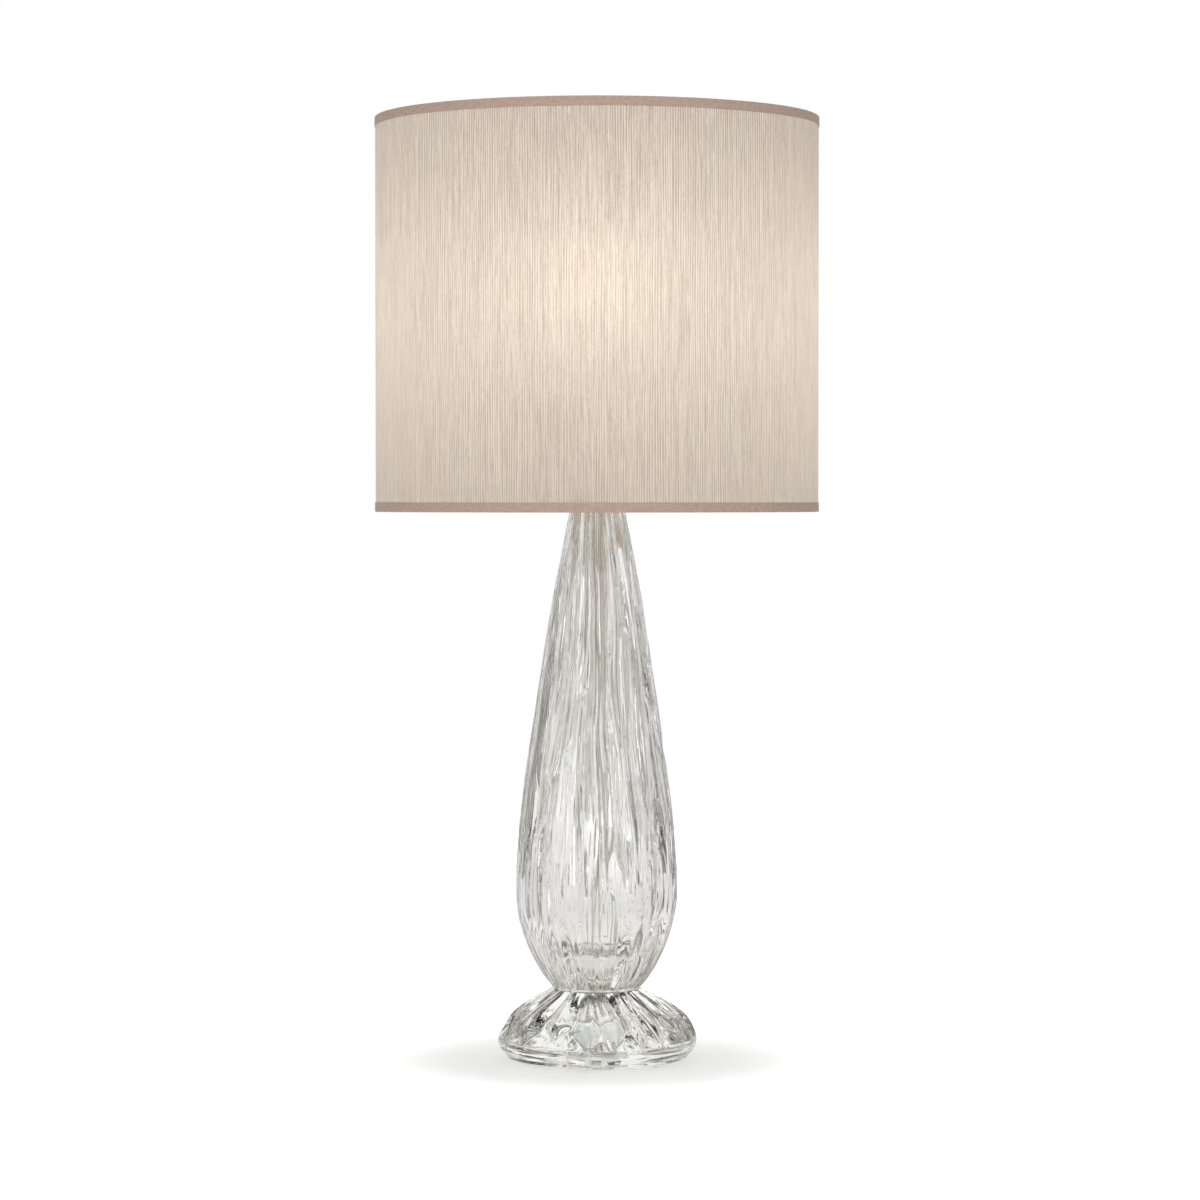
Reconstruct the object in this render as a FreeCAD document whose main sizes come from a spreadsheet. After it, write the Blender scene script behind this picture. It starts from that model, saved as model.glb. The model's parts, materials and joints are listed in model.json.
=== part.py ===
"""A table lamp: a ribbed clear-glass column on a ribbed glass foot, both threaded on a hollow rod,
with a turn-knob lampholder, a pear-shaped bulb, a wire harp and a drum shade.

Millimetres, +Z up. The origin is on the table, under the middle of the foot, and the front of the
lamp faces -Y. Every size is a cell of the sheet "Sizes", and every place is worked out from them."""

import FreeCAD
import Part
import Sketcher
import math
import operator
import os

from FreeCAD import Placement, Rotation, Vector

SIZES = {
    # Rod that clamps everything together, and how much larger each kind of hole round it is
    "rod_radius": 5,
    "rod_bore_radius": 3.3,
    "rod_tail": 3,
    "thread_gap": 0.05,
    "slip_gap": 0.25,
    "glass_gap": 1.5,
    # Clear pads under the foot
    "pad_radius": 6,
    "pad_height": 1,
    "pad_circle_radius": 71.5,
    # Glass foot, which is domed underneath
    "foot_height": 64,
    "foot_rest_radius": 80,
    "foot_bulge_radius": 90,
    "foot_bulge_height": 17,
    "foot_top_radius": 39,
    "foot_rib_depth": 2.2,
    "dome_radius": 64,
    "dome_rise": 11,
    "recess_radius": 19,
    "recess_depth": 17,
    "cord_groove_width": 9,
    "cord_groove_height": 7,
    # Clamping stack in the recess of the foot
    "base_cushion_radius": 17,
    "base_cushion_thickness": 3,
    "base_washer_radius": 15,
    "base_washer_thickness": 2,
    "base_nut_across": 17,
    "base_nut_height": 5,
    # Glass column
    "joint_gasket_radius": 36,
    "joint_gasket_thickness": 1,
    "column_height": 454,
    "column_base_radius": 38.3,
    "column_belly_radius": 71,
    "column_belly_height": 87,
    "column_neck_radius": 21.5,
    "column_neck_height": 12,
    "column_rib_depth": 2,
    "column_wall": 7,
    "column_floor": 14,
    "column_mouth_radius": 13,
    # Metal fittings on the neck
    "neck_gasket_thickness": 1.5,
    "cap_height": 6,
    "cap_skirt": 7,
    "cap_wall": 1.2,
    "neck_spacer_radius": 8,
    "neck_spacer_height": 26,
    "check_ring_radius": 13,
    "check_ring_height": 3,
    # Saddle, harp and the two ferrules that lock them together
    "saddle_spread": 40,
    "saddle_thickness": 2,
    "saddle_width": 12,
    "saddle_rise": 9,
    "tongue_radius": 2.6,
    "tongue_height": 12,
    "tongue_gap": 0.15,
    "harp_height": 279,
    "harp_half_width": 58,
    "harp_wire_radius": 1.8,
    "harp_leg_straight": 18,
    "harp_eye_radius": 8,
    "harp_eye_thickness": 5,
    "ferrule_wall": 1,
    "ferrule_height": 12,
    # Swivel stud on the harp, which carries the shade
    "stud_radius": 3.1,
    "stud_length": 14,
    "stud_collar_radius": 7,
    "stud_collar_height": 2.5,
    "stud_shank_radius": 2.4,
    "stud_rivet_radius": 4.5,
    "stud_rivet_height": 1.5,
    # Lampholder
    "holder_hub_radius": 8,
    "holder_hub_height": 9,
    "holder_cap_height": 22,
    "holder_radius": 17.8,
    "holder_wall": 0.8,
    "holder_shell_height": 50,
    "liner_thickness": 1,
    "core_height": 22,
    "screw_shell_height": 22,
    "screw_shell_wall": 0.5,
    "centre_contact_radius": 3.5,
    "centre_contact_height": 1.5,
    "set_screw_radius": 1.5,
    "terminal_screw_radius": 1.5,
    "terminal_head_radius": 3,
    "terminal_head_height": 2,
    "terminal_recess": 3.5,
    # Turn switch
    "switch_shaft_radius": 2,
    "switch_shaft_depth": 9,
    "knob_radius": 7,
    "knob_length": 14,
    "knob_reach": 38,
    "knob_flute_radius": 1.4,
    # Bulb with a 26 mm screw cap
    "bulb_length": 133,
    "bulb_radius": 33.3,
    "bulb_glass": 0.8,
    "bulb_neck_radius": 14.5,
    "bulb_cap_radius": 13,
    "bulb_cap_length": 26,
    "bulb_cap_wall": 0.4,
    "bulb_tip_radius": 4.5,
    "bulb_tip_height": 2,
    "bulb_seal_depth": 12,
    "bulb_stem_radius": 5,
    "bulb_stem_length": 50,
    "filament_length": 24,
    "filament_radius": 0.7,
    # Drum shade
    "shade_radius": 200,
    "shade_height": 354,
    "shade_drop": 13.5,
    "cloth_thickness": 0.6,
    "shade_liner_thickness": 0.5,
    "ring_wire_radius": 1.5,
    "trim_thickness": 0.4,
    "trim_height": 8.5,
    "trim_return": 6,
    "spider_washer_radius": 14,
    "spider_washer_thickness": 2,
    "spider_wire_radius": 1.5,
    "spider_bend_run": 12,
    # Finial
    "finial_height": 25,
    "finial_foot_radius": 7,
    "finial_ball_radius": 8.5,
    "finial_insert_wall": 1.2,
    "finial_insert_length": 10,
    # Small clearances
    "touch_gap": 0.1,
    "running_gap": 0.05,
}

PAD_COUNT = 4
SPIDER_ARMS = 3
KNOB_FLUTES = 12
COLUMN_RIBS = 30
FOOT_RIBS = 26
POINTS_PER_RIB = 4
# Powers of the curves of the glass: the flank below the foot's bulge, its shoulder, and the column's belly
FOOT_FLANK_CURVE, FOOT_SHOULDER_CURVE, COLUMN_BELLY_CURVE = 2.5, 1.75, 0.85
# The column above its belly: the shares of a straight taper and of a shallow hollow in its rounded form
COLUMN_STRAIGHT, COLUMN_HOLLOW = 0.15, 0.055
# Where a straight flank meets a ball, as shares of the ball's radius out from and below its centre
FLANK_OUT, FLANK_DOWN = 0.9578, 0.2874
NECK_OUT, NECK_DOWN = 0.6, 0.8

doc = FreeCAD.newDocument("table_lamp")
sheet = doc.addObject("Spreadsheet::Sheet", "Sizes")
for row, (alias, number) in enumerate(SIZES.items(), start=1):
    sheet.set(f"A{row}", alias)
    sheet.set(f"B{row}", str(number))
    sheet.setAlias(f"B{row}", alias)
doc.recompute()

PARTS = {}


# ---------------------------------------------------------------- sizes


class Size:
    """A length: the sheet expression that gives it, and its value now."""

    def __init__(self, text, value):
        self.text = text
        self.value = value

    def __add__(self, other):
        return combine("+", self, other)

    def __radd__(self, other):
        return combine("+", other, self)

    def __sub__(self, other):
        return combine("-", self, other)

    def __rsub__(self, other):
        return combine("-", other, self)

    def __mul__(self, other):
        return combine("*", self, other)

    def __rmul__(self, other):
        return combine("*", other, self)

    def __truediv__(self, other):
        return combine("/", self, other)

    def __neg__(self):
        return combine("-", 0, self)


def combine(sign, first, second):
    """The size that first and second make with an arithmetic sign between them."""
    work = {"+": operator.add, "-": operator.sub, "*": operator.mul, "/": operator.truediv}
    first, second = as_size(first), as_size(second)
    text = f"({first.text} {sign} {second.text})"
    return Size(text, work[sign](first.value, second.value))


def as_size(number):
    """A plain number as a Size, and a Size as it is."""
    if isinstance(number, Size):
        return number
    return Size(f"{number:.6f}", float(number))


def size(name):
    """The sheet's cell of that name."""
    return Size(f"Sizes.{name}", float(sheet.get(name)))


def drive(thing, path, length):
    """Binds one property of an object to a size."""
    thing.setExpression(path, as_size(length).text)


# ---------------------------------------------------------------- sketches


class Via:
    """A point that the arc between its two neighbours in an outline passes through."""

    def __init__(self, across, up):
        self.across = across
        self.up = up


def flat(across, up):
    """The sketch point at two sizes."""
    return Vector(as_size(across).value, as_size(up).value, 0)


def pin_point(sketch, geometry, end, across, up):
    """Dimensions one point of a sketch from its origin."""
    for kind, axis, length in (("DistanceX", -2, across), ("DistanceY", -1, up)):
        if not isinstance(length, Size) and length == 0:
            sketch.addConstraint(Sketcher.Constraint("PointOnObject", geometry, end, axis))
            continue
        value = as_size(length).value
        index = sketch.addConstraint(Sketcher.Constraint(kind, geometry, end, value))
        drive(sketch, f"Constraints[{index}]", length)


def mark(sketch, across, up):
    """A construction point at two sizes."""
    point = sketch.addGeometry(Part.Point(flat(across, up)), True)
    pin_point(sketch, point, 1, across, up)
    return point


def add_arc(sketch, centre, start, end, left):
    """An arc that a path follows from start to end, turning left or right.
    Returns its geometry and the ends where the path enters and leaves it."""
    spoke_in, spoke_out = start - centre, end - centre
    angles = [math.atan2(v.y, v.x) for v in (spoke_in, spoke_out)]
    first, last = angles if left else reversed(angles)
    if last <= first:
        last += 2 * math.pi
    circle = Part.Circle(centre, Vector(0, 0, 1), spoke_in.Length)
    arc = sketch.addGeometry(Part.ArcOfCircle(circle, first, last), False)
    return (arc, 1, 2) if left else (arc, 2, 1)


def circle_centre(a, b, c):
    """The centre of the circle through three sketch points."""
    d = 2 * (a.x * (b.y - c.y) + b.x * (c.y - a.y) + c.x * (a.y - b.y))
    squares = [p.x**2 + p.y**2 for p in (a, b, c)]
    x = squares[0] * (b.y - c.y) + squares[1] * (c.y - a.y) + squares[2] * (a.y - b.y)
    y = squares[0] * (c.x - b.x) + squares[1] * (a.x - c.x) + squares[2] * (b.x - a.x)
    return Vector(x / d, y / d, 0)


def side_of(start, end, point):
    """Positive if point lies to the left of the line from start to end."""
    return (end - start).cross(point - start).z


def draw(sketch, corners, closed=True):
    """Draws straight runs and arcs through corners, each of which is dimensioned from the sheet.
    A corner is (across, up), (across, up, radius) if it is rounded, or a Via."""
    stops, vias = [], {}
    for corner in corners:
        if isinstance(corner, Via):
            vias[len(stops) - 1] = corner
        else:
            stops.append(corner)
    count = len(stops)
    places = [flat(*stop[:2]) for stop in stops]
    trims = [0.0] * count
    for i, stop in enumerate(stops):
        if len(stop) == 3:
            before = (places[i] - places[i - 1]).normalize()
            after = (places[(i + 1) % count] - places[i]).normalize()
            turn = before.getAngle(after)
            trims[i] = as_size(stop[2]).value * math.tan(turn / 2)
    runs = []
    for i in range(count if closed else count - 1):
        j = (i + 1) % count
        start, end = places[i], places[j]
        if i in vias:
            middle = flat(vias[i].across, vias[i].up)
            left = side_of(start, end, middle) < 0
            run = add_arc(sketch, circle_centre(start, middle, end), start, end, left)
            point = mark(sketch, vias[i].across, vias[i].up)
            sketch.addConstraint(Sketcher.Constraint("PointOnObject", point, 1, run[0]))
        else:
            along = (end - start).normalize()
            line = Part.LineSegment(start + along * trims[i], end - along * trims[j])
            run = (sketch.addGeometry(line, False), 1, 2)
        runs.append(run)
    for i, stop in enumerate(stops):
        arriving = runs[i - 1] if closed or i > 0 else None
        leaving = runs[i] if i < len(runs) else None
        if len(stop) == 2:
            if leaving:
                pin_point(sketch, leaving[0], leaving[1], stop[0], stop[1])
            if arriving and leaving:
                joint = (arriving[0], arriving[2], leaving[0], leaving[1])
                sketch.addConstraint(Sketcher.Constraint("Coincident", *joint))
            elif arriving:
                pin_point(sketch, arriving[0], arriving[2], stop[0], stop[1])
            continue
        before = (places[i] - places[i - 1]).normalize()
        after = (places[(i + 1) % count] - places[i]).normalize()
        start, end = places[i] - before * trims[i], places[i] + after * trims[i]
        left = before.cross(after).z > 0
        inward = Vector(-before.y, before.x, 0) * (1 if left else -1)
        centre = start + inward * as_size(stop[2]).value
        arc, enters, leaves = add_arc(sketch, centre, start, end, left)
        for tangent in (
            (arriving[0], arriving[2], arc, enters),
            (arc, leaves, leaving[0], leaving[1]),
        ):
            sketch.addConstraint(Sketcher.Constraint("Tangent", *tangent))
        radius = as_size(stop[2]).value
        index = sketch.addConstraint(Sketcher.Constraint("Radius", arc, radius))
        drive(sketch, f"Constraints[{index}]", stop[2])
        point = mark(sketch, stop[0], stop[1])
        for line in (arriving[0], leaving[0]):
            sketch.addConstraint(Sketcher.Constraint("PointOnObject", point, 1, line))


def draw_circle(sketch, across, up, radius):
    """A circle whose centre and radius come from the sheet."""
    value = as_size(radius).value
    geometry = Part.Circle(flat(across, up), Vector(0, 0, 1), value)
    circle = sketch.addGeometry(geometry, False)
    pin_point(sketch, circle, 3, across, up)
    index = sketch.addConstraint(Sketcher.Constraint("Radius", circle, value))
    drive(sketch, f"Constraints[{index}]", radius)


def new_sketch(body, role, name, offset=None):
    """A sketch on one of the body's own origin planes, moved off it by offset along its normal."""
    sketch = body.newObject("Sketcher::SketchObject", name)
    plane = next(f for f in body.Origin.OriginFeatures if f.Role == role)
    sketch.AttachmentSupport = (plane, [""])
    sketch.MapMode = "FlatFace"
    if offset is not None:
        drive(sketch, "AttachmentOffset.Base.z", offset)
    return sketch


# ---------------------------------------------------------------- pieces


def keep(name, thing):
    """Gives a finished sub-part its name, which is also its file's name."""
    thing.Label = name
    PARTS[name] = thing
    return thing


def turned(name, corners):
    """A body turned about Z from half of its section, drawn as (radius, height) corners."""
    body = doc.addObject("PartDesign::Body", f"{name}_body")
    section = new_sketch(body, "XZ_Plane", f"{name}_section")
    draw(section, corners)
    turning = body.newObject("PartDesign::Revolution", f"{name}_turning")
    turning.Profile = section
    turning.ReferenceAxis = (section, ["V_Axis"])
    turning.Angle = 360
    return body


def ring(name, inner, outer, low, high):
    """A plain ring or washer."""
    return turned(name, [(inner, low), (outer, low), (outer, high), (inner, high)])


def bar(name, radius, length, place, direction=Vector(0, 0, 1), angle=360):
    """A round bar from place along direction, or a slice of one if angle is under 360."""
    cylinder = doc.addObject("Part::Cylinder", name)
    drive(cylinder, "Radius", radius)
    drive(cylinder, "Height", length)
    cylinder.Angle = angle
    cylinder.Placement = Placement(Vector(), Rotation(Vector(0, 0, 1), direction))
    move(cylinder, place)
    return cylinder


def block(name, lengths, place):
    """A box with its lowest corner at place."""
    box = doc.addObject("Part::Box", name)
    for path, length in zip(("Length", "Width", "Height"), lengths):
        drive(box, path, length)
    move(box, place)
    return box


def move(thing, place):
    """Puts an object at a place given by three sizes."""
    for axis, length in zip("xyz", place):
        drive(thing, f"Placement.Base.{axis}", length)


def without(name, base, *tools):
    """base with the tools cut out of it."""
    for number, tool in enumerate(tools, start=1):
        cut = doc.addObject("Part::Cut", f"{name}_cut_{number}")
        cut.Base, cut.Tool = base, tool
        base = cut
    return base


def joined(name, *pieces):
    """Several pieces as one solid."""
    fuse = doc.addObject("Part::MultiFuse", f"{name}_joined")
    fuse.Shapes = list(pieces)
    return fuse


def group(name, pieces):
    """Several alike pieces that share one node and stay separate solids."""
    compound = doc.addObject("Part::Compound", f"{name}_group")
    compound.Links = list(pieces)
    return compound


def solid(name, shape):
    """A sub-part whose shape is worked out directly."""
    feature = doc.addObject("Part::Feature", f"{name}_solid")
    feature.Shape = shape
    return feature


# ---------------------------------------------------------------- heights and fits

rod_radius = size("rod_radius")
slip_radius = rod_radius + size("slip_gap")
thread_radius = rod_radius + size("thread_gap")
glass_bore = rod_radius + size("glass_gap")
touch = size("touch_gap")
running = size("running_gap")

foot_bottom = size("pad_height")
foot_top = foot_bottom + size("foot_height")
recess_ceiling = foot_bottom + size("recess_depth")
cushion_bottom = recess_ceiling - size("base_cushion_thickness")
washer_bottom = cushion_bottom - size("base_washer_thickness")
nut_bottom = washer_bottom - size("base_nut_height")
rod_bottom = nut_bottom - size("rod_tail")
column_bottom = foot_top + size("joint_gasket_thickness")
column_top = column_bottom + size("column_height")
cap_bottom = column_top + size("neck_gasket_thickness")
cap_top = cap_bottom + size("cap_height")
spacer_top = cap_top + size("neck_spacer_height")
saddle_bottom = spacer_top + size("check_ring_height")
holder_bottom = saddle_bottom + size("saddle_thickness")
tongue_bottom = saddle_bottom + size("saddle_rise")
tongue_top = tongue_bottom + size("tongue_height")
seat = saddle_bottom + size("harp_height")
shade_top = seat + size("shade_drop")
shade_bottom = shade_top - size("shade_height")


# ---------------------------------------------------------------- glass


def column_radius(height):
    """The column's outer radius over its crests, height being above its bottom."""
    belly, rise = size("column_belly_radius").value, size("column_belly_height").value
    if height < rise:
        low = size("column_base_radius").value
        share = math.cos(math.pi / 2 * (rise - height) / rise)
        return low + (belly - low) * max(share, 0) ** COLUMN_BELLY_CURVE
    neck = size("column_neck_radius").value
    shoulder = size("column_height").value - size("column_neck_height").value
    climbed = min((height - rise) / (shoulder - rise), 1)
    rounded, straight = math.cos(math.pi / 2 * climbed), 1 - climbed
    share = rounded + (straight - rounded) * COLUMN_STRAIGHT - COLUMN_HOLLOW * math.sin(math.pi * climbed) ** 2
    return neck + (belly - neck) * share


def foot_radius(height):
    """The foot's outer radius over its crests, height being above its bottom."""
    bulge, rise = size("foot_bulge_radius").value, size("foot_bulge_height").value
    if height < rise:
        low = size("foot_rest_radius").value
        return bulge - (bulge - low) * ((rise - height) / rise) ** FOOT_FLANK_CURVE
    high, top = size("foot_top_radius").value, size("foot_height").value
    return bulge - (bulge - high) * ((height - rise) / (top - rise)) ** FOOT_SHOULDER_CURVE


def sway(angle, height):
    """How far a rib leans round the glass, in radians, as hand-pulled ribs do."""
    slow = 0.050 * math.sin(height / 60 + 3 * angle)
    quick = 0.018 * math.sin(height / 23 + 5 * angle)
    return slow + quick


def ribbed_section(radius, depth, ribs, height):
    """A closed wavy outline at a height: crests at radius, valleys up to depth below it."""
    points, places = [], []
    count = ribs * POINTS_PER_RIB
    for step in range(count):
        angle = 2 * math.pi * step / count
        strength = 0.7 + 0.3 * math.cos(5 * angle + height / 70)
        out = radius - depth * strength * (1 - math.cos(ribs * angle)) / 2
        turn = angle + sway(angle, height)
        points.append(Vector(out * math.cos(turn), out * math.sin(turn), height))
        places.append(step / count)
    curve = Part.BSplineCurve()
    curve.interpolate(Points=points, PeriodicFlag=True, Parameters=[*places, 1.0])
    return Part.Wire([curve.toShape()])


def spaced(low, high, steps):
    """Evenly spaced heights from low up to, but without, high."""
    return [low + (high - low) * step / steps for step in range(steps)]


def ribbed_solid(outline, depth, ribs, levels):
    """A solid with ribs that run up it, lofted through sections at some heights."""
    sections = [ribbed_section(outline(level), depth, ribs, level) for level in levels]
    return Part.makeLoft(sections, True, False)


def turned_core(points, low, high):
    """A solid of revolution inside the glass: a smooth curve through (radius, height) points,
    closed flat at low and high."""
    curve = Part.BSplineCurve()
    curve.interpolate([Vector(radius, 0, height) for radius, height in points])
    start, end = curve.StartPoint, curve.EndPoint
    edges = [
        Part.LineSegment(Vector(0, 0, low), start).toShape(),
        curve.toShape(),
        Part.LineSegment(end, Vector(0, 0, high)).toShape(),
        Part.LineSegment(Vector(0, 0, high), Vector(0, 0, low)).toShape(),
    ]
    face = Part.Face(Part.Wire(edges))
    return face.revolve(Vector(), Vector(0, 0, 1), 360)


def make_foot():
    """The foot: thick glass domed underneath, with a bore for the rod, a recess for its nut and a groove
    for the lead."""
    height = size("foot_height").value
    depth = size("foot_rib_depth").value
    bulge = size("foot_bulge_height").value
    levels = [*spaced(0, bulge, 3), *spaced(bulge, height, 6), height]
    glass = ribbed_solid(foot_radius, depth, FOOT_RIBS, levels)
    bore = Part.makeCylinder(glass_bore.value, height)
    recess_depth = size("recess_depth").value
    recess = Part.makeCylinder(size("recess_radius").value, recess_depth)
    width, rise = size("cord_groove_width").value, size("cord_groove_height").value
    reach = size("foot_bulge_radius").value + width
    groove = Part.makeBox(width, reach, rise, Vector(-width / 2, 0, 0))
    dome_radius, dome_rise = size("dome_radius").value, size("dome_rise").value
    ball_radius = (dome_radius**2 + dome_rise**2) / (2 * dome_rise)
    dome = Part.makeSphere(ball_radius, Vector(0, 0, dome_rise - ball_radius))
    shape = glass.cut(bore.multiFuse([recess, groove, dome]))
    foot = keep("glass_foot", solid("glass_foot", shape))
    move(foot, (0, 0, foot_bottom))


def make_column():
    """The column: a hollow blown drop with ribs outside, a bored floor and an open neck."""
    height = size("column_height").value
    depth = size("column_rib_depth").value
    rise = size("column_belly_height").value
    shoulder = height - size("column_neck_height").value
    levels = [*spaced(0, rise, 5), *spaced(rise, shoulder, 12), *spaced(shoulder, height, 3), height]
    glass = ribbed_solid(column_radius, depth, COLUMN_RIBS, levels)
    floor, wall = size("column_floor").value, size("column_wall").value
    mouth = size("column_mouth_radius").value
    inside = [(column_radius(level) - depth - wall, level) for level in spaced(floor, height, 40)]
    inside = [(radius, level) for radius, level in inside if radius > mouth]
    throat = inside[-1][1]
    hollow = turned_core(inside, floor, throat)
    neck = Part.makeCylinder(mouth, height - floor, Vector(0, 0, floor))
    bore = Part.makeCylinder(glass_bore.value, floor * 2)
    shape = glass.cut(hollow.fuse(neck).fuse(bore))
    column = keep("glass_column", solid("glass_column", shape))
    move(column, (0, 0, column_bottom))


# ---------------------------------------------------------------- base and rod


def make_pads():
    """Clear pads that keep the glass off the table."""
    pads = []
    for number in range(PAD_COUNT):
        turn = math.pi / PAD_COUNT + 2 * math.pi * number / PAD_COUNT
        circle = size("pad_circle_radius")
        place = (circle * math.cos(turn), circle * math.sin(turn), 0)
        name = f"foot_pad_{number + 1}"
        pads.append(bar(name, size("pad_radius"), size("pad_height"), place))
    keep("foot_pads", group("foot_pads", pads))


def make_rod_and_clamp():
    """The hollow rod and the nut, washer and cushion that clamp the glass to it from below."""
    rod_top = holder_bottom + size("holder_hub_height")
    bore = size("rod_bore_radius")
    keep("centre_rod", ring("centre_rod", bore, rod_radius, rod_bottom, rod_top))
    cushion = size("base_cushion_radius"), cushion_bottom, recess_ceiling
    keep("base_cushion", ring("base_cushion", slip_radius, *cushion))
    washer = size("base_washer_radius"), washer_bottom, cushion_bottom
    keep("base_washer", ring("base_washer", slip_radius, *washer))
    gasket = size("joint_gasket_radius"), foot_top, column_bottom
    keep("joint_gasket", ring("joint_gasket", glass_bore, *gasket))
    body = doc.addObject("PartDesign::Body", "base_nut_body")
    hexagon = new_sketch(body, "XY_Plane", "base_nut_hexagon", nut_bottom)
    corner = size("base_nut_across") / math.sqrt(3)
    turns = [math.pi / 3 * k for k in range(6)]
    draw(hexagon, [(corner * math.cos(t), corner * math.sin(t)) for t in turns])
    draw_circle(hexagon, 0, 0, thread_radius)
    nut = body.newObject("PartDesign::Pad", "base_nut_pad")
    nut.Profile = hexagon
    drive(nut, "Length", size("base_nut_height"))
    keep("base_nut", body)


def make_neck_fittings():
    """The gasket, cap, spacer and check ring on the neck of the glass."""
    neck = size("column_neck_radius")
    mouth = size("column_mouth_radius")
    gasket_outer = neck - size("column_rib_depth")
    keep("neck_gasket", ring("neck_gasket", mouth, gasket_outer, column_top, cap_bottom))
    wall = size("cap_wall")
    skirt_inner = neck + touch * 5
    skirt_outer = skirt_inner + wall
    skirt_low = cap_bottom - size("cap_skirt")
    spacer = size("neck_spacer_radius")
    shoulder = cap_bottom + wall * 2
    cap = [
        (slip_radius, cap_bottom),
        (skirt_inner, cap_bottom),
        (skirt_inner, skirt_low),
        (skirt_outer, skirt_low),
        (skirt_outer, shoulder, 2.4),
        (spacer + 3, cap_top, 4),
        (slip_radius, cap_top),
    ]
    keep("neck_cap", turned("neck_cap", cap))
    waist = cap_top + size("neck_spacer_height") / 2
    spacer_section = [
        (slip_radius, cap_top),
        (spacer, cap_top),
        Via(spacer * 0.82, waist),
        (spacer, spacer_top),
        (slip_radius, spacer_top),
    ]
    keep("neck_spacer", turned("neck_spacer", spacer_section))
    rim, crown = size("check_ring_radius"), saddle_bottom
    check_ring = [
        (slip_radius, spacer_top),
        (rim - 1, spacer_top),
        (rim, spacer_top + 1),
        (rim, crown - 1),
        (rim - 1, crown),
        (slip_radius, crown),
    ]
    keep("check_ring", turned("check_ring", check_ring))


# ---------------------------------------------------------------- saddle and harp


def half_bar(name, across, low, length, outward):
    """Half of a round bar that stands up, its flat side at across and its round side outward."""
    start = Rotation(Vector(0, 0, 1), -90 if outward > 0 else 90)
    piece = bar(name, size("tongue_radius"), length, (across, 0, low), angle=180)
    piece.Placement = Placement(piece.Placement.Base, start)
    return piece


def make_saddle():
    """The bent strap under the lampholder, with an upright tongue at each end."""
    spread, half = size("saddle_spread"), size("saddle_thickness") / 2
    bend = size("saddle_thickness") * 2
    low, top = saddle_bottom, tongue_bottom
    body = doc.addObject("PartDesign::Body", "saddle_body")
    strap = new_sketch(body, "XZ_Plane", "saddle_outline")
    outline = [
        (-spread - half, top),
        (-spread - half, low, bend + half * 2),
        (spread + half, low, bend + half * 2),
        (spread + half, top),
        (spread - half, top),
        (spread - half, low + half * 2, bend),
        (-spread + half, low + half * 2, bend),
        (-spread + half, top),
    ]
    draw(strap, outline)
    pad = body.newObject("PartDesign::Pad", "saddle_pad")
    pad.Profile = strap
    pad.SideType = "Symmetric"
    drive(pad, "Length", size("saddle_width"))
    tongue = size("tongue_height") + half
    tongues = [
        half_bar("saddle_tongue_right", spread, top - half, tongue, 1),
        half_bar("saddle_tongue_left", -spread, top - half, tongue, -1),
    ]
    hole = bar("saddle_hole", slip_radius, size("saddle_thickness") * 3, (0, 0, low - half))
    strap_piece = joined("saddle", body, *tongues)
    keep("harp_saddle", without("saddle", strap_piece, hole))


def make_harp():
    """The wire harp: two legs that bow out round the bulb and meet in a flat eye."""
    spread, wide = size("saddle_spread"), size("harp_half_width")
    wire = size("harp_wire_radius")
    start = tongue_top + touch * 3
    collar_low = seat - size("stud_collar_height")
    eye_top = collar_low - touch
    eye_bottom = eye_top - size("harp_eye_thickness")
    crown = (eye_top + eye_bottom) / 2
    knee = start + size("harp_leg_straight")
    hip = knee + (wide - spread) * 3
    body = doc.addObject("PartDesign::Body", "harp_body")
    path = new_sketch(body, "XZ_Plane", "harp_path")
    right = [(spread, start), (spread, knee, 20), (wide, hip, 40), (wide, crown, wide - 12)]
    left = [(-stop[0], *stop[1:]) for stop in reversed(right)]
    draw(path, [*right, *left], closed=False)
    section = new_sketch(body, "XY_Plane", "harp_wire_section", start)
    draw_circle(section, spread, 0, wire)
    sweep = body.newObject("PartDesign::AdditivePipe", "harp_wire")
    sweep.Profile = section
    doc.recompute()
    edges = [f"Edge{number + 1}" for number in range(len(path.Shape.Edges))]
    sweep.Spine = (path, edges)
    hook = size("tongue_height") + touch * 3 + wire
    gap = size("tongue_gap")
    ends = [
        half_bar("harp_end_right", spread - gap, tongue_bottom + touch, hook, -1),
        half_bar("harp_end_left", gap - spread, tongue_bottom + touch, hook, 1),
    ]
    thickness = size("harp_eye_thickness")
    eye = bar("harp_eye", size("harp_eye_radius"), thickness, (0, 0, eye_bottom))
    hole_radius = size("stud_shank_radius") + running
    hole = bar("harp_eye_hole", hole_radius, thickness * 2, (0, 0, eye_bottom - thickness / 2))
    keep("harp", without("harp", joined("harp", body, eye, *ends), hole))

    inner = size("tongue_radius") + gap + touch
    low, high = tongue_bottom + touch, tongue_bottom + touch + size("ferrule_height")
    for side, across in (("left", -spread), ("right", spread)):
        outer = inner + size("ferrule_wall")
        ferrule = ring(f"ferrule_{side}", inner, outer, low, high)
        move(ferrule, (across, 0, 0))
        keep(f"ferrule_{side}", ferrule)

    rivet_top = eye_bottom - touch
    rivet_low = rivet_top - size("stud_rivet_height")
    shank, collar = size("stud_shank_radius"), size("stud_collar_radius")
    stud_top = seat + size("stud_length")
    stud = [
        (0, rivet_low),
        (size("stud_rivet_radius"), rivet_low),
        (size("stud_rivet_radius"), rivet_top),
        (shank, rivet_top),
        (shank, collar_low),
        (collar, collar_low),
        (collar, seat),
        (size("stud_radius"), seat),
        (size("stud_radius"), stud_top - 1),
        (size("stud_radius") - 1, stud_top),
        (0, stud_top),
    ]
    keep("harp_stud", turned("harp_stud", stud))


# ---------------------------------------------------------------- lampholder and switch


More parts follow.
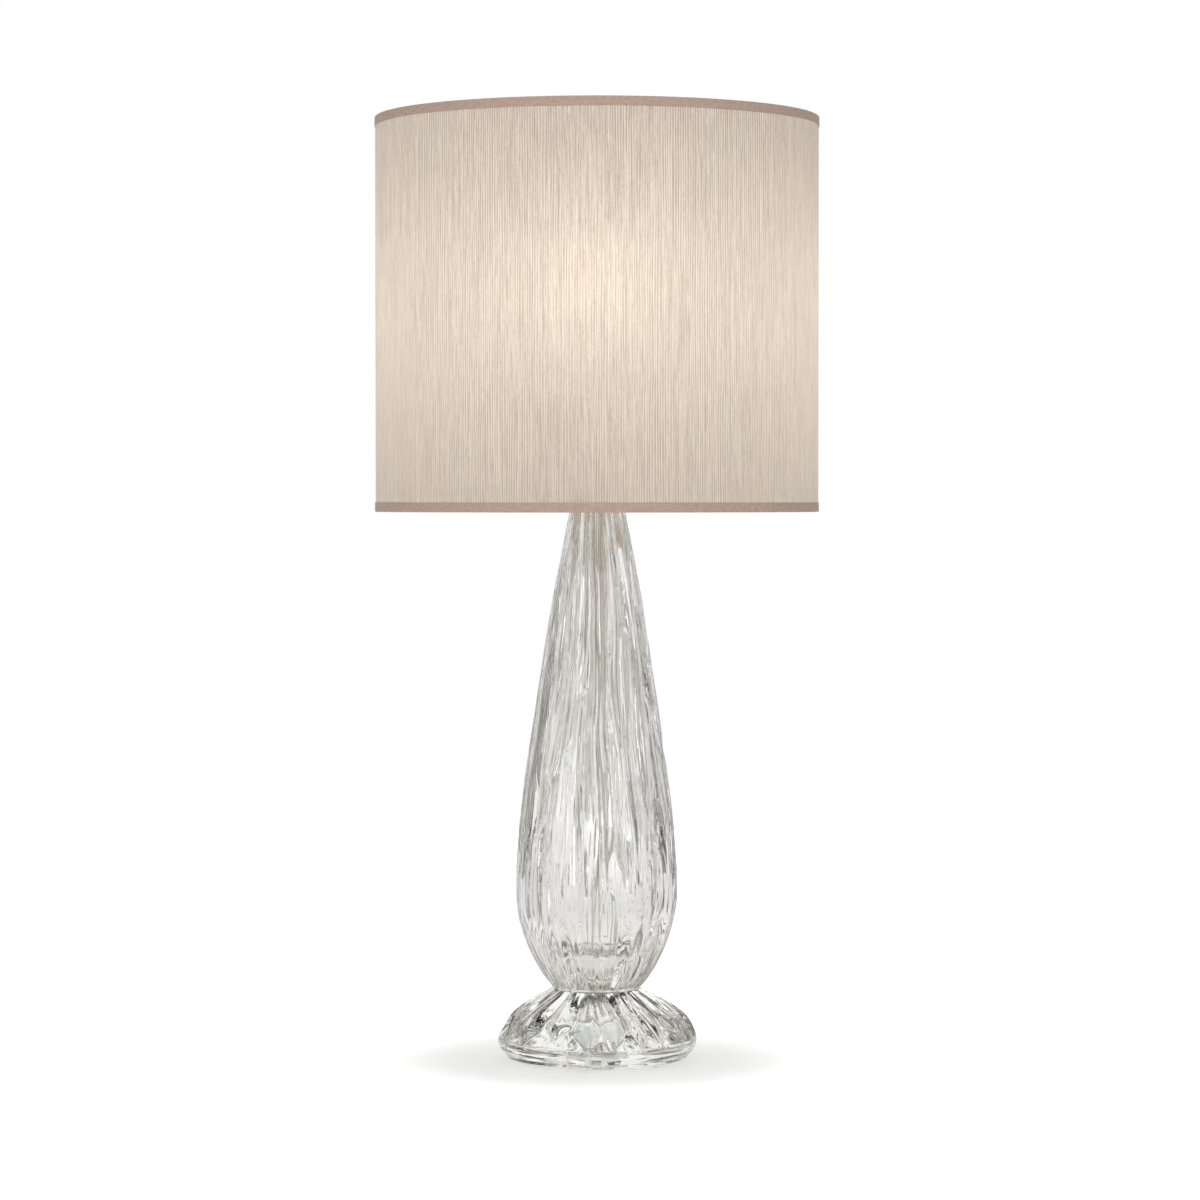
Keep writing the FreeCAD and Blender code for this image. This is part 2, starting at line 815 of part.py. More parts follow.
def make_lampholder():
    """The lampholder: cap, shell, insulating liner, moulded core, screw shell and contacts."""
    base = holder_bottom
    outer, wall = size("holder_radius"), size("holder_wall")
    hub, hub_height = size("holder_hub_radius"), size("holder_hub_height")
    cap_rim = base + size("holder_cap_height")
    inner = outer - wall
    flare = base + hub_height
    cap = [
        (thread_radius, base),
        (hub, base),
        (hub, flare - wall),
        (outer, flare + 5, 3),
        (outer, cap_rim),
        (inner, cap_rim),
        (inner, flare + 5 + wall, 2),
        (thread_radius, flare + wall),
    ]
    screw_height = base + hub_height / 2
    set_hole = bar(
        "set_screw_hole",
        size("set_screw_radius") + running,
        hub,
        (0, thread_radius, screw_height),
        Vector(0, 1, 0),
    )
    holder_cap = without("lampholder_cap", turned("lampholder_cap", cap), set_hole)
    keep("lampholder_cap", holder_cap)
    screw_length = hub - rod_radius + 1
    screw_place = (0, rod_radius + running, screw_height)
    screw_radius = size("set_screw_radius")
    screw = bar("set_screw_bar", screw_radius, screw_length, screw_place, Vector(0, 1, 0))
    keep("lampholder_set_screw", screw)

    shell_outer = inner - touch
    shell_inner = shell_outer - wall
    shell_low = cap_rim - 6
    shell_high = shell_low + size("holder_shell_height")
    liner_outer = shell_inner - touch
    liner_inner = liner_outer - size("liner_thickness")
    core_low = shell_low + 2
    core_high = core_low + size("core_height")
    switch_height = (cap_rim + core_high) / 2
    front = Vector(0, -1, 0)
    shaft = size("switch_shaft_radius")

    def front_hole(name, radius):
        return bar(name, radius, outer + 2, (0, 0, switch_height), front)

    shell = ring("lampholder_shell_tube", shell_inner, shell_outer, shell_low, shell_high)
    opening = front_hole("shell_opening", shaft + 1)
    keep("lampholder_shell", without("lampholder_shell", shell, opening))
    liner = ring("liner_tube", liner_inner, liner_outer, shell_low + 1, shell_high - 1)
    opening = front_hole("liner_opening", shaft + 1)
    keep("lampholder_liner", without("lampholder_liner", liner, opening))

    core_radius = liner_inner - touch
    core_corners = [(0, core_low), (core_radius, core_low), (core_radius, core_high), (0, core_high)]
    core = turned("core_blank", core_corners)
    shaft_depth = size("switch_shaft_depth")
    shaft_start = shaft_depth - core_radius
    shaft_bore = bar(
        "core_shaft_bore",
        shaft + running,
        shaft_depth + 1,
        (0, shaft_start, switch_height),
        front,
    )
    recess = size("terminal_recess")
    flat_at = core_radius - recess
    tools = [shaft_bore]
    screws = []
    head_height, head = size("terminal_head_height"), size("terminal_head_radius")
    stem = size("terminal_screw_radius")
    for side, sign in (("left", -1), ("right", 1)):
        along = Vector(sign, 0, 0)
        place = (flat_at * sign, 0, switch_height)
        pocket_low = core_low + 2
        pocket_size = (recess * 2, core_radius, switch_height - pocket_low + head + 1)
        pocket_x = flat_at if sign > 0 else -flat_at - recess * 2
        pocket = block(f"core_pocket_{side}", pocket_size, (pocket_x, -core_radius / 2, pocket_low))
        deep = (flat_at * sign - sign * head * 1.5, 0, switch_height)
        screw_hole = bar(f"core_hole_{side}", stem + running, head * 2, deep, along)
        tools += [pocket, screw_hole]
        screw_head = bar(f"terminal_head_{side}", head, head_height, place, along)
        screw_stem = bar(f"terminal_stem_{side}", stem, head * 1.5, deep, along)
        screws.append(joined(f"terminal_screw_{side}", screw_head, screw_stem))
    keep("lampholder_core", without("lampholder_core", core, *tools))
    keep("terminal_screws", group("terminal_screws", screws))

    thread_wall = size("screw_shell_wall")
    thread_inner = size("bulb_cap_radius") + touch * 3
    thread_outer = thread_inner + thread_wall
    thread_top = core_high + size("screw_shell_height")
    screw_shell = [
        (size("centre_contact_radius") + 2, core_high),
        (thread_outer, core_high),
        (thread_outer, thread_top),
        (thread_inner, thread_top),
        (thread_inner, core_high + thread_wall),
        (size("centre_contact_radius") + 2, core_high + thread_wall),
    ]
    keep("screw_shell", turned("screw_shell", screw_shell))
    contact_top = core_high + size("centre_contact_height")
    contact = [
        (0, core_high),
        (size("centre_contact_radius"), core_high),
        (size("centre_contact_radius") - 1, contact_top),
        (0, contact_top),
    ]
    keep("centre_contact", turned("centre_contact", contact))
    make_switch(switch_height, -shaft_start)
    make_bulb(contact_top + touch)


def make_switch(height, shaft_start):
    """The turn switch: a shaft that runs out of the core and a fluted knob on its end."""
    shaft, reach = size("switch_shaft_radius"), size("knob_reach")
    knob, length = size("knob_radius"), size("knob_length")
    start = shaft_start + running
    back = reach - length
    grip_depth = length - 3
    shaft_length = back + grip_depth - start
    front = Vector(0, -1, 0)
    place = (0, -start, height)
    keep("switch_shaft", bar("switch_shaft_bar", shaft, shaft_length, place, front))
    section = [
        (0, 0),
        (knob - 2, 0),
        (knob, 2),
        (knob, length - 2, 1.5),
        (knob - 2, length, 1.5),
        (0, length),
    ]
    blank = turned("knob_blank", section)
    flutes = []
    for number in range(KNOB_FLUTES):
        turn = 2 * math.pi * number / KNOB_FLUTES
        ring_radius = knob + size("knob_flute_radius") * 0.4
        spot = (ring_radius * math.cos(turn), ring_radius * math.sin(turn), 3)
        flute_name = f"knob_flute_{number + 1}"
        flutes.append(bar(flute_name, size("knob_flute_radius"), length, spot))
    bore = bar("knob_bore", shaft, grip_depth, (0, 0, 0))
    fluted = without("knob", blank, joined("knob_flutes", *flutes), bore)
    fluted.Placement = Placement(Vector(), Rotation(Vector(0, 0, 1), front))
    move(fluted, (0, -back, height))
    keep("switch_knob", fluted)


# ---------------------------------------------------------------- bulb


def ball(name, radius, height):
    """A ball centred on the axis."""
    sphere = doc.addObject("Part::Sphere", name)
    drive(sphere, "Radius", radius)
    move(sphere, (0, 0, height))
    return sphere


def bulb_form(name, low, inset):
    """The bulb's glass as a full solid, set in from the outside: a ball on a tapered neck."""
    radius = size("bulb_radius") - inset
    centre = low + size("bulb_length") - size("bulb_radius")
    throat = size("bulb_cap_radius") - size("bulb_cap_wall") - touch - inset
    neck = size("bulb_neck_radius") - inset
    cap_end = low + size("bulb_cap_length")
    flank = centre - radius * FLANK_DOWN
    corners = [
        (0, cap_end - size("bulb_seal_depth")),
        (throat, cap_end - size("bulb_seal_depth")),
        (throat, cap_end),
        (neck, cap_end + 4),
        (radius * FLANK_OUT, flank),
        (0, flank),
    ]
    return joined(name, turned(f"{name}_neck", corners), ball(f"{name}_ball", radius, centre))


def make_bulb(tip):
    """The bulb: centre contact, insulator, screw cap, glass, and the stem with its filament."""
    contact_top = tip + size("bulb_tip_height")
    tip_radius = size("bulb_tip_radius")
    contact = [(0, tip), (tip_radius - 1.5, tip), (tip_radius, contact_top), (0, contact_top)]
    keep("bulb_contact", turned("bulb_contact", contact))
    cap, wall = size("bulb_cap_radius"), size("bulb_cap_wall")
    cone_top = contact_top + 3
    insulator = [
        (0, contact_top),
        (tip_radius + 1, contact_top),
        (cap - 4, cone_top),
        (0, cone_top),
    ]
    keep("bulb_insulator", turned("bulb_insulator", insulator))
    rim = tip + size("bulb_cap_length")
    side_low = cone_top + 3
    shell = [
        (0, cone_top),
        (cap - 4, cone_top),
        (cap, side_low),
        (cap, rim),
        (cap - wall, rim),
        (cap - wall, side_low + wall),
        (cap - 4, cone_top + wall * 1.5),
        (0, cone_top + wall * 1.5),
    ]
    keep("bulb_cap", turned("bulb_cap", shell))
    outside = bulb_form("bulb_outside", tip, 0)
    inside = bulb_form("bulb_inside", tip, size("bulb_glass"))
    keep("bulb_glass", without("bulb_glass", outside, inside))
    stem_low = rim - size("bulb_seal_depth")
    stem_top = stem_low + size("bulb_stem_length")
    flare = cap - wall - touch * 2 - size("bulb_glass")
    stem_radius = size("bulb_stem_radius")
    stem = [
        (0, stem_low),
        (flare, stem_low),
        (flare, stem_low + 1),
        (stem_radius, stem_low + 10),
        (stem_radius / 2, stem_top),
        (0, stem_top),
    ]
    keep("bulb_stem", turned("bulb_stem", stem))
    make_filament(stem_top)


def make_filament(stem_top):
    """The lit element: a bar across the top of the stem on two upright supports."""
    radius, length = size("filament_radius"), size("filament_length")
    rise = length * 0.6
    top = stem_top + rise
    across = bar("filament_bar", radius, length, (-length / 2, 0, top), Vector(1, 0, 0))
    foot = bar("filament_foot", radius, length * 0.6, (-length * 0.3, 0, stem_top + radius), Vector(1, 0, 0))
    supports = []
    for side, sign in (("left", -1), ("right", 1)):
        lean = Vector(sign * 0.2, 0, 0.6)
        start = (length * 0.3 * sign, 0, stem_top + radius)
        long = rise * math.sqrt(0.2**2 + 0.6**2) / 0.6
        supports.append(bar(f"filament_support_{side}", radius, long, start, lean))
    keep("bulb_filament", joined("bulb_filament", across, foot, *supports))


# ---------------------------------------------------------------- shade and finial

cloth_outer = size("shade_radius") - size("trim_thickness")
cloth_inner = cloth_outer - size("cloth_thickness")
liner_outer_radius = cloth_inner - touch
liner_inner_radius = liner_outer_radius - size("shade_liner_thickness")
ring_centre = liner_inner_radius - touch - size("ring_wire_radius")
ring_inner = ring_centre - size("ring_wire_radius")
edge = size("ring_wire_radius") + touch + size("trim_thickness")
ring_high = shade_top - edge
ring_low = shade_bottom + edge


def trim_section(rim, inward):
    """The folded cloth binding of one rim. inward is -1 at the top rim and 1 at the bottom one."""
    thick = size("trim_thickness")
    outer = size("shade_radius")
    return_outer = ring_inner - touch
    under = rim + thick * inward
    return [
        (outer, rim),
        (outer, rim + size("trim_height") * inward),
        (outer - thick, rim + size("trim_height") * inward),
        (outer - thick, under),
        (return_outer, under),
        (return_outer, rim + size("trim_return") * inward),
        (return_outer - thick, rim + size("trim_return") * inward),
        (return_outer - thick, rim),
    ]


def make_shade():
    """The drum shade: cloth over a stiff liner on two wire rings, with bound rims."""
    thick = size("trim_thickness")
    low, high = shade_bottom + thick + touch, shade_top - thick - touch
    keep("shade_cloth", ring("shade_cloth", cloth_inner, cloth_outer, low, high))
    liner = liner_inner_radius, liner_outer_radius, low, high
    keep("shade_liner", ring("shade_liner", *liner))
    for name, height in (("shade_top_ring", ring_high), ("shade_bottom_ring", ring_low)):
        wire = doc.addObject("Part::Torus", f"{name}_wire")
        drive(wire, "Radius1", ring_centre)
        drive(wire, "Radius2", size("ring_wire_radius"))
        move(wire, (0, 0, height))
        keep(name, wire)
    bottom = turned("bottom_trim_band", trim_section(shade_bottom, 1))
    keep("shade_bottom_trim", bottom)
    top = turned("top_trim_band", trim_section(shade_top, -1))
    slits = []
    for number in range(SPIDER_ARMS):
        turn = spider_turn(number)
        along = Vector(math.cos(turn), math.sin(turn), 0)
        start = ring_inner - size("spider_bend_run")
        place = (start * along.x, start * along.y, ring_high)
        slit = size("spider_wire_radius") + touch * 3
        slits.append(bar(f"trim_slit_{number + 1}", slit, size("spider_bend_run"), place, along))
    keep("shade_top_trim", without("top_trim", top, joined("trim_slits", *slits)))


def spider_turn(number):
    """The direction of one spider arm, the first pointing to the back."""
    return math.pi / 2 + 2 * math.pi * number / SPIDER_ARMS


def make_spider():
    """The washer and the three cranked arms that hang the shade from the stud."""
    washer, thick = size("spider_washer_radius"), size("spider_washer_thickness")
    hole = size("stud_radius") + touch * 3
    keep("spider_washer", ring("spider_washer", hole, washer, seat, seat + thick))
    wire = size("spider_wire_radius")
    level = seat + thick / 2
    run = size("spider_bend_run")
    for number in range(SPIDER_ARMS):
        name = f"spider_arm_{number + 1}"
        body = doc.addObject("PartDesign::Body", f"{name}_body")
        section = new_sketch(body, "YZ_Plane", f"{name}_section", washer + touch)
        draw_circle(section, 0, level, wire)
        path = new_sketch(body, "XZ_Plane", f"{name}_path")
        end = ring_inner - touch
        stops = [
            (washer + touch, level),
            (end - run * 1.7, level, 4),
            (end - run * 0.7, ring_high, 4),
            (end, ring_high),
        ]
        draw(path, stops, closed=False)
        sweep = body.newObject("PartDesign::AdditivePipe", f"{name}_wire")
        sweep.Profile = section
        doc.recompute()
        sweep.Spine = (path, [f"Edge{k + 1}" for k in range(len(path.Shape.Edges))])
        turn = math.degrees(spider_turn(number))
        body.Placement = Placement(Vector(), Rotation(Vector(0, 0, 1), turn))
        keep(name, body)


def make_finial():
    """The turned finial and its threaded insert, which screw down on the washer of the shade."""
    low = seat + size("spider_washer_thickness")
    bore = size("stud_radius") + running
    insert_outer = bore + size("finial_insert_wall")
    insert_low = low + touch
    insert_high = insert_low + size("finial_insert_length")
    insert = ring("finial_insert", bore, insert_outer, insert_low, insert_high)
    keep("finial_insert", insert)
    socket = insert_outer + running
    foot, ball_radius = size("finial_foot_radius"), size("finial_ball_radius")
    centre = low + size("finial_height") - ball_radius
    neck = socket + 0.6
    pocket_top = insert_high + running
    stud_room = pocket_top + size("stud_length") / 4
    ball_low = centre - ball_radius * NECK_DOWN
    stem = [
        (0, low),
        (foot, low),
        (foot, low + 2),
        (neck, low + 4.5),
        (neck, ball_low),
        (ball_radius * NECK_OUT, ball_low),
        (ball_radius * NECK_OUT, centre),
        (0, centre),
    ]
    room = [
        (0, low),
        (socket, low),
        (socket, pocket_top),
        (bore, pocket_top),
        (bore, stud_room),
        (0, stud_room),
    ]
    form = joined("finial", turned("finial_stem", stem), ball("finial_ball", ball_radius, centre))
    keep("finial", without("finial", form, turned("finial_room", room)))


# ---------------------------------------------------------------- build, check and write

make_pads()
make_foot()
make_column()
make_rod_and_clamp()
make_neck_fittings()
make_saddle()
make_harp()
make_lampholder()
make_shade()
make_spider()
make_finial()
doc.recompute()

for thing in doc.Objects:
    if {"Invalid", "Error"} & set(thing.State):
        raise RuntimeError(f"{thing.Name} did not build: {thing.State}")
for name, thing in PARTS.items():
    shape = thing.Shape
    if shape.isNull() or not shape.isValid() or not shape.Solids:
        raise RuntimeError(f"{name} has no valid solid")
    if any(piece.Volume <= 0 for piece in shape.Solids):
        raise RuntimeError(f"{name} is inside out")

os.makedirs("parts", exist_ok=True)
for name, thing in PARTS.items():
    thing.Shape.exportStep(f"parts/{name}.step")
    print(f"{name}: {len(thing.Shape.Solids)} solid(s), {thing.Shape.Volume / 1000:.2f} cm3")
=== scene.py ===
"""Look of the table lamp: pulled-rib clear glass, a streaked drum shade, its harp, lampholder and bulb.

Metres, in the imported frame: +Z up the rod, the front towards -Y, the origin on the table."""

import json
from math import atan2, cos, hypot, pi, radians, sin, sqrt

import bmesh
import bpy
import numpy as np
from mathutils import Matrix, Vector

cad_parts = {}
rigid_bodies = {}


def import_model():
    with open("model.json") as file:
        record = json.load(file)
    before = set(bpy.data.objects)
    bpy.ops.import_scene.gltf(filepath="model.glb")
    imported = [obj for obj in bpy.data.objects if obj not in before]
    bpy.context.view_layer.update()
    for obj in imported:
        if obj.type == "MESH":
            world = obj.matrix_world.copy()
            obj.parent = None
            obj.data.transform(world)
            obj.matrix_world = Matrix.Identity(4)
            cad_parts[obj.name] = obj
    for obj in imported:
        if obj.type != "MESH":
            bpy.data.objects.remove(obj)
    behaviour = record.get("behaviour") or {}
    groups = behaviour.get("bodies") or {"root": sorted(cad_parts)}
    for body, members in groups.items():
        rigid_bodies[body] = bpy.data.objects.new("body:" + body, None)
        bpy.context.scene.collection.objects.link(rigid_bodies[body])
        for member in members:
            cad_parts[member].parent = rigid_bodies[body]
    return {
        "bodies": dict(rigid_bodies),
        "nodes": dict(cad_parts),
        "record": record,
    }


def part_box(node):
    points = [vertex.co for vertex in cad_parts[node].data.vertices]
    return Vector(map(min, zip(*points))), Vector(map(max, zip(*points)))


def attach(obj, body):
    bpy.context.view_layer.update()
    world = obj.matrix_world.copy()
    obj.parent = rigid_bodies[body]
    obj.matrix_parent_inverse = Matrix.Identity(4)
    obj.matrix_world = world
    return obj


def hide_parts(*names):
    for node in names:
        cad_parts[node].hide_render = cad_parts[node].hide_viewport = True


MM = 0.001
TURN = 2 * pi

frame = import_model()
nodes, bodies = frame["nodes"], frame["bodies"]
slot_of = {row["node"]: row["material_slot"] for row in frame["record"]["subparts"]}
body_of = {node: body for body, held in frame["record"]["behaviour"]["bodies"].items() for node in held}
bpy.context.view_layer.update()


# ---- node maths


class Wire:
    """One output of a node. Python's operators add Math nodes, so a formula reads as it is written."""

    def __init__(self, graph, socket):
        self.graph, self.socket = graph, socket

    def part(self, name):
        """Another output of the same node."""
        return Wire(self.graph, self.socket.node.outputs[name])

    def __neg__(self):
        return self * -1

    def held(self, low=0, high=1):
        return self.most(low).least(high)

    def step(self, start, end, low=0, high=1):
        """Smooth step from low at start to high at end."""
        values = {"Value": self, "From Min": start, "From Max": end, "To Min": low, "To Max": high}
        return self.graph.add("ShaderNodeMapRange", values, interpolation_type="SMOOTHSTEP")

    def axes(self):
        split = self.graph.add("ShaderNodeSeparateXYZ", {0: self})
        return split, split.part("Y"), split.part("Z")


def maths_method(operation, last=False):
    """A method that adds one Math node, with the wire itself as its first value or its last."""
    return lambda wire, *others: wire.graph.maths(operation, *((*others, wire) if last else (wire, *others)))


for name, operation in {"add": "ADD", "sub": "SUBTRACT", "mul": "MULTIPLY", "truediv": "DIVIDE"}.items():
    setattr(Wire, f"__{name}__", maths_method(operation))
    setattr(Wire, f"__r{name}__", maths_method(operation, last=True))
for name, operation in {
    "__pow__": "POWER", "__mod__": "FLOORED_MODULO", "__abs__": "ABSOLUTE", "__lt__": "LESS_THAN",
    "__gt__": "GREATER_THAN", "least": "MINIMUM", "most": "MAXIMUM", "floor": "FLOOR", "root": "SQRT",
    "sin": "SINE", "cos": "COSINE",
}.items():
    setattr(Wire, name, maths_method(operation))


class Graph:
    """A node tree that grows by one method."""

    def __init__(self, tree):
        self.tree = tree

    def add(self, kind, values=None, out=0, **settings):
        """A node of a kind: its settings first, then its sockets' values or wires. Returns one output's wire."""
        node = self.tree.nodes.new(kind)
        for name, value in settings.items():
            setattr(node, name, value)
        for name, value in (values or {}).items():
            socket = node.inputs[name]
            if isinstance(value, Wire):
                self.tree.links.new(value.socket, socket)
            else:
                socket.default_value = (*value, 1) if socket.type == "RGBA" and len(value) == 3 else value
        return Wire(self, node.outputs[out]) if node.outputs else node

    def maths(self, operation, *values):
        return self.add("ShaderNodeMath", dict(enumerate(values)), operation=operation)

    def vector(self, x, y, z=0.0):
        return self.add("ShaderNodeCombineXYZ", {0: x, 1: y, 2: z})

    def unit(self, x, y):
        return self.add("ShaderNodeVectorMath", {0: self.vector(x, y)}, operation="NORMALIZE")

    def noise(self, place, detail=2.0, rough=0.5, scale=1.0):
        return self.add("ShaderNodeTexNoise", {"Vector": place, "Scale": scale, "Detail": detail, "Roughness": rough})

    def mix(self, share, first, second):
        """Colours mixed; 0 gives the first."""
        return self.add("ShaderNodeMix", {0: share, 6: first, 7: second}, 2, data_type="RGBA")

    def between(self, share, first, second):
        """Shaders mixed; 0 gives the first."""
        return self.add("ShaderNodeMixShader", {0: share, 1: first, 2: second})


finish = {}


class Paint(Graph):
    """One material, which done() lists among the finishes."""

    def __init__(self, name):
        self.name, self.material = name, bpy.data.materials.new(name)
        self.material.use_nodes = True
        self.material.node_tree.nodes.clear()
        super().__init__(self.material.node_tree)
        self.here = self.add("ShaderNodeTexCoord", out="Object")

    def specks(self, scale, detail=2.0):
        """Noise through the piece, with the scale in waves to the metre."""
        return self.noise(self.add("ShaderNodeMapping", {"Vector": self.here, "Scale": [scale] * 3}), detail)

    def unrolled(self):
        """How far round the piece and how far along its outline, in metres."""
        return self.add("ShaderNodeTexCoord", out="UV").axes()[:2]

    def round_the_axis(self, turns, height):
        """A place that goes round the axis without a seam, equally often at every height."""
        x, y, z = self.here.axes()
        east, north, _ = self.unit(x, y).axes()
        return self.vector(east * turns, north * turns, z * height)

    def bump(self, height, distance, strength=1.0):
        return self.add("ShaderNodeBump", {"Height": height, "Distance": distance, "Strength": strength})

    def surface(self, base, rough, metal=0.0, **more):
        names = {
            "ior": "IOR", "through": "Transmission Weight", "coat": "Coat Weight", "coat_rough": "Coat Roughness",
            "sheen": "Sheen Weight", "sheen_rough": "Sheen Roughness", "gloss": "Specular IOR Level",
            "normal": "Normal", "glow": "Emission Color", "glow_level": "Emission Strength",
        }
        values = {"Base Color": base, "Roughness": rough, "Metallic": metal}
        return self.add("ShaderNodeBsdfPrincipled", values | {names[name]: value for name, value in more.items()})

    def clear(self, tint):
        return self.add("ShaderNodeBsdfTransparent", {"Color": tint})

    def lit_through(self, share, cloth, colour):
        """Cloth that lets a share of the light behind it through."""
        return self.between(share, cloth, self.add("ShaderNodeBsdfTranslucent", {"Color": colour}))

    def light_passes(self, shader, tint=(1.0, 1.0, 1.0), seen_through=False):
        """The same surface, but light from lamps and the world goes straight through it."""
        path = self.add("ShaderNodeLightPath", out="Is Shadow Ray")
        share = path.most(path.part("Is Transmission Ray")) if seen_through else path
        return self.between(share, shader, self.clear(tint))

    def done(self, shader):
        self.add("ShaderNodeOutputMaterial", {"Surface": shader})
        finish[self.name] = self.material


# ---- meshes


def span(node):
    """How low, how high and how far from the axis a CAD node reaches, in millimetres."""
    low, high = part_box(node)
    return low[2] / MM, high[2] / MM, max(high[0], -low[0]) / MM


def new_mesh(name, points, faces):
    mesh = bpy.data.meshes.new(name)
    mesh.from_pydata(points, [], faces)
    return mesh


def new_piece(name, held):
    piece = bpy.data.objects.new(name, held)
    bpy.context.scene.collection.objects.link(piece)
    return piece


def applied(piece):
    """Makes what the modifiers give the piece's own mesh, and takes them off."""
    view = bpy.context.evaluated_depsgraph_get()
    made = bpy.data.meshes.new_from_object(piece.evaluated_get(view), depsgraph=view)
    made.name = piece.name
    piece.modifiers.clear()
    piece.data = made
    return piece


def mended(mesh, outward=False):
    """Merges the corners that meet, such as those on the axis, and turns the faces outward if asked."""
    shell = bmesh.new()
    shell.from_mesh(mesh)
    bmesh.ops.remove_doubles(shell, verts=shell.verts, dist=1e-6)
    if outward:
        bmesh.ops.recalc_face_normals(shell, faces=shell.faces)
    shell.to_mesh(mesh)
    shell.free()


def lathe(name, outline, sides, start=0.0, crease=None):
    """Turns a closed outline of (radius, height, skin) points, in millimetres, round the axis.

    Skin is 1 where ribs or grooves may be cut. The corners keep how far round, how far along the outline and how
    much skin they are, as attributes, and the UV map is the unrolled surface in metres."""
    outline = np.array(outline, float)
    radius, height, skin = outline.T
    if (radius * np.roll(height, -1) - np.roll(radius, -1) * height).sum() < 0:
        outline = outline[::-1]
    radius, height, skin = outline.T * [[MM], [MM], [1]]
    count = len(outline)
    steps = np.hypot(np.roll(radius, -1) - radius, np.roll(height, -1) - height)
    along = np.concatenate([[0.0], np.cumsum(steps)])
    angle = start + np.arange(sides) * TURN / sides
    flat = [np.outer(np.cos(angle), radius), np.outer(np.sin(angle), radius)]
    place = np.stack([*flat, np.broadcast_to(height, (sides, count))], axis=-1).reshape(-1, 3)
    ring, spot = np.meshgrid(np.arange(sides), np.arange(count), indexing="ij")
    after, beyond = (ring + 1) % sides, (spot + 1) % count
    corners = [ring * count + spot, after * count + spot, after * count + beyond, ring * count + beyond]
    mesh = new_mesh(name, place, np.stack(corners, axis=-1).reshape(-1, 4).tolist())
    for label, numbers in (
        ("around", np.repeat(angle, count)),
        ("along", np.tile(along[:-1], sides)),
        ("skin", np.tile(skin, sides)),
    ):
        mesh.attributes.new(label, "FLOAT", "POINT").data.foreach_set("value", numbers.astype(np.float32))
    turn = np.stack([ring, ring + 1, ring + 1, ring], axis=-1) / sides * TURN
    length = along[np.stack([spot, spot, spot + 1, spot + 1], axis=-1)]
    uv = np.stack([turn * radius.mean(), length], axis=-1)
    mesh.uv_layers.new(name="surface").data.foreach_set("uv", uv.ravel().astype(np.float32))
    if radius.min() <= 0:
        mended(mesh)
    return smoothed(new_piece(name, mesh), crease)


def smoothed(piece, crease=None):
    """Smooth shading, up to a crease angle in degrees if one is given."""
    mesh = piece.data
    mesh.polygons.foreach_set("use_smooth", [True] * len(mesh.polygons))
    if crease:
        mesh.set_sharp_from_angle(angle=radians(crease))
    mesh.update()
    return piece


def rounded(corners, radius=0.3, steps=4):
    """The outline through corners of (radius, height), each one rounded off.

    A corner may add its own rounding, and then its skin."""
    points, count = [], len(corners)
    for i, corner in enumerate(corners):
        here = np.array(corner[:2], float)
        skin = corner[3] if len(corner) > 3 else 0
        room = corner[2] if len(corner) > 2 else radius
        back = np.array(corners[i - 1][:2], float) - here
        on = np.array(corners[(i + 1) % count][:2], float) - here
        reach = min(room, np.linalg.norm(back) * 0.49, np.linalg.norm(on) * 0.49)
        if reach <= 0 or here[0] == 0:
            points.append((*here, skin))
            continue
        first, last = here + back / np.linalg.norm(back) * reach, here + on / np.linalg.norm(on) * reach
        for t in np.linspace(0, 1, steps + 1):
            across, up = (1 - t) ** 2 * first + 2 * t * (1 - t) * here + t**2 * last
            points.append((across, up, skin))
    return points


def rows(radius, low, high, step):
    """Corners up a straight side that a thread is cut in, close enough together for it."""
    return [(radius, z, 0, 1) for z in np.linspace(low, high, round(abs(high - low) / step) + 1)]


def flowing(knots, steps=6):
    """A smooth line through (radius, height) knots, as corners for rounded()."""
    knots = np.array(knots, float)
    ends = [2 * knots[0] - knots[1], *knots, 2 * knots[-1] - knots[-2]]
    line = []
    for before, here, after, beyond in zip(ends, ends[1:], ends[2:], ends[3:]):
        for t in np.arange(steps) / steps:
            bend = 2 * before - 5 * here + 4 * after - beyond
            twist = 3 * here - before - 3 * after + beyond
            across, up = here + 0.5 * (t * (after - before) + t**2 * bend + t**3 * twist)
            line.append((max(across, 0), up, 0))
    return [*line, (*knots[-1], 0)]


def swept(name, path, radius, sides):
    """A round wire, with closed ends, along a flat path of (across, up) points in the XZ plane, in millimetres."""
    path = np.array(path, float)
    ahead = np.gradient(path, axis=0)
    ahead /= np.linalg.norm(ahead, axis=1)[:, None]
    outward = np.stack([-ahead[:, 1], ahead[:, 0]], axis=1)
    turn = np.arange(sides) * TURN / sides
    across = path[:, None, 0] + radius * np.cos(turn) * outward[:, None, 0]
    up = path[:, None, 1] + radius * np.cos(turn) * outward[:, None, 1]
    deep = np.broadcast_to(radius * np.sin(turn), across.shape)
    count = len(path)
    i, j = np.meshgrid(np.arange(count - 1), np.arange(sides), indexing="ij")
    k = (j + 1) % sides
    wall = np.stack([i * sides + j, i * sides + k, (i + 1) * sides + k, (i + 1) * sides + j], axis=-1).reshape(-1, 4)
    caps = [list(range(sides)), list(range((count - 1) * sides, count * sides))]
    mesh = new_mesh(name, np.stack([across, deep, up], axis=-1).reshape(-1, 3) * MM, [*wall.tolist(), *caps])
    mended(mesh, outward=True)
    return smoothed(new_piece(name, mesh), 50)


def prism(name, outline, length, place):
    """A bar with a given outline in millimetres, as long as length, stood at a place given by a matrix."""
    count = len(outline)
    points = [(x * MM, y * MM, z * MM) for z in (0, length) for x, y in outline]
    walls = [(i, (i + 1) % count, (i + 1) % count + count, i + count) for i in range(count)]
    mesh = new_mesh(name, points, [*walls, list(range(count)), list(range(count, 2 * count))])
    mesh.transform(place)
    mended(mesh, outward=True)
    return smoothed(new_piece(name, mesh), 40)


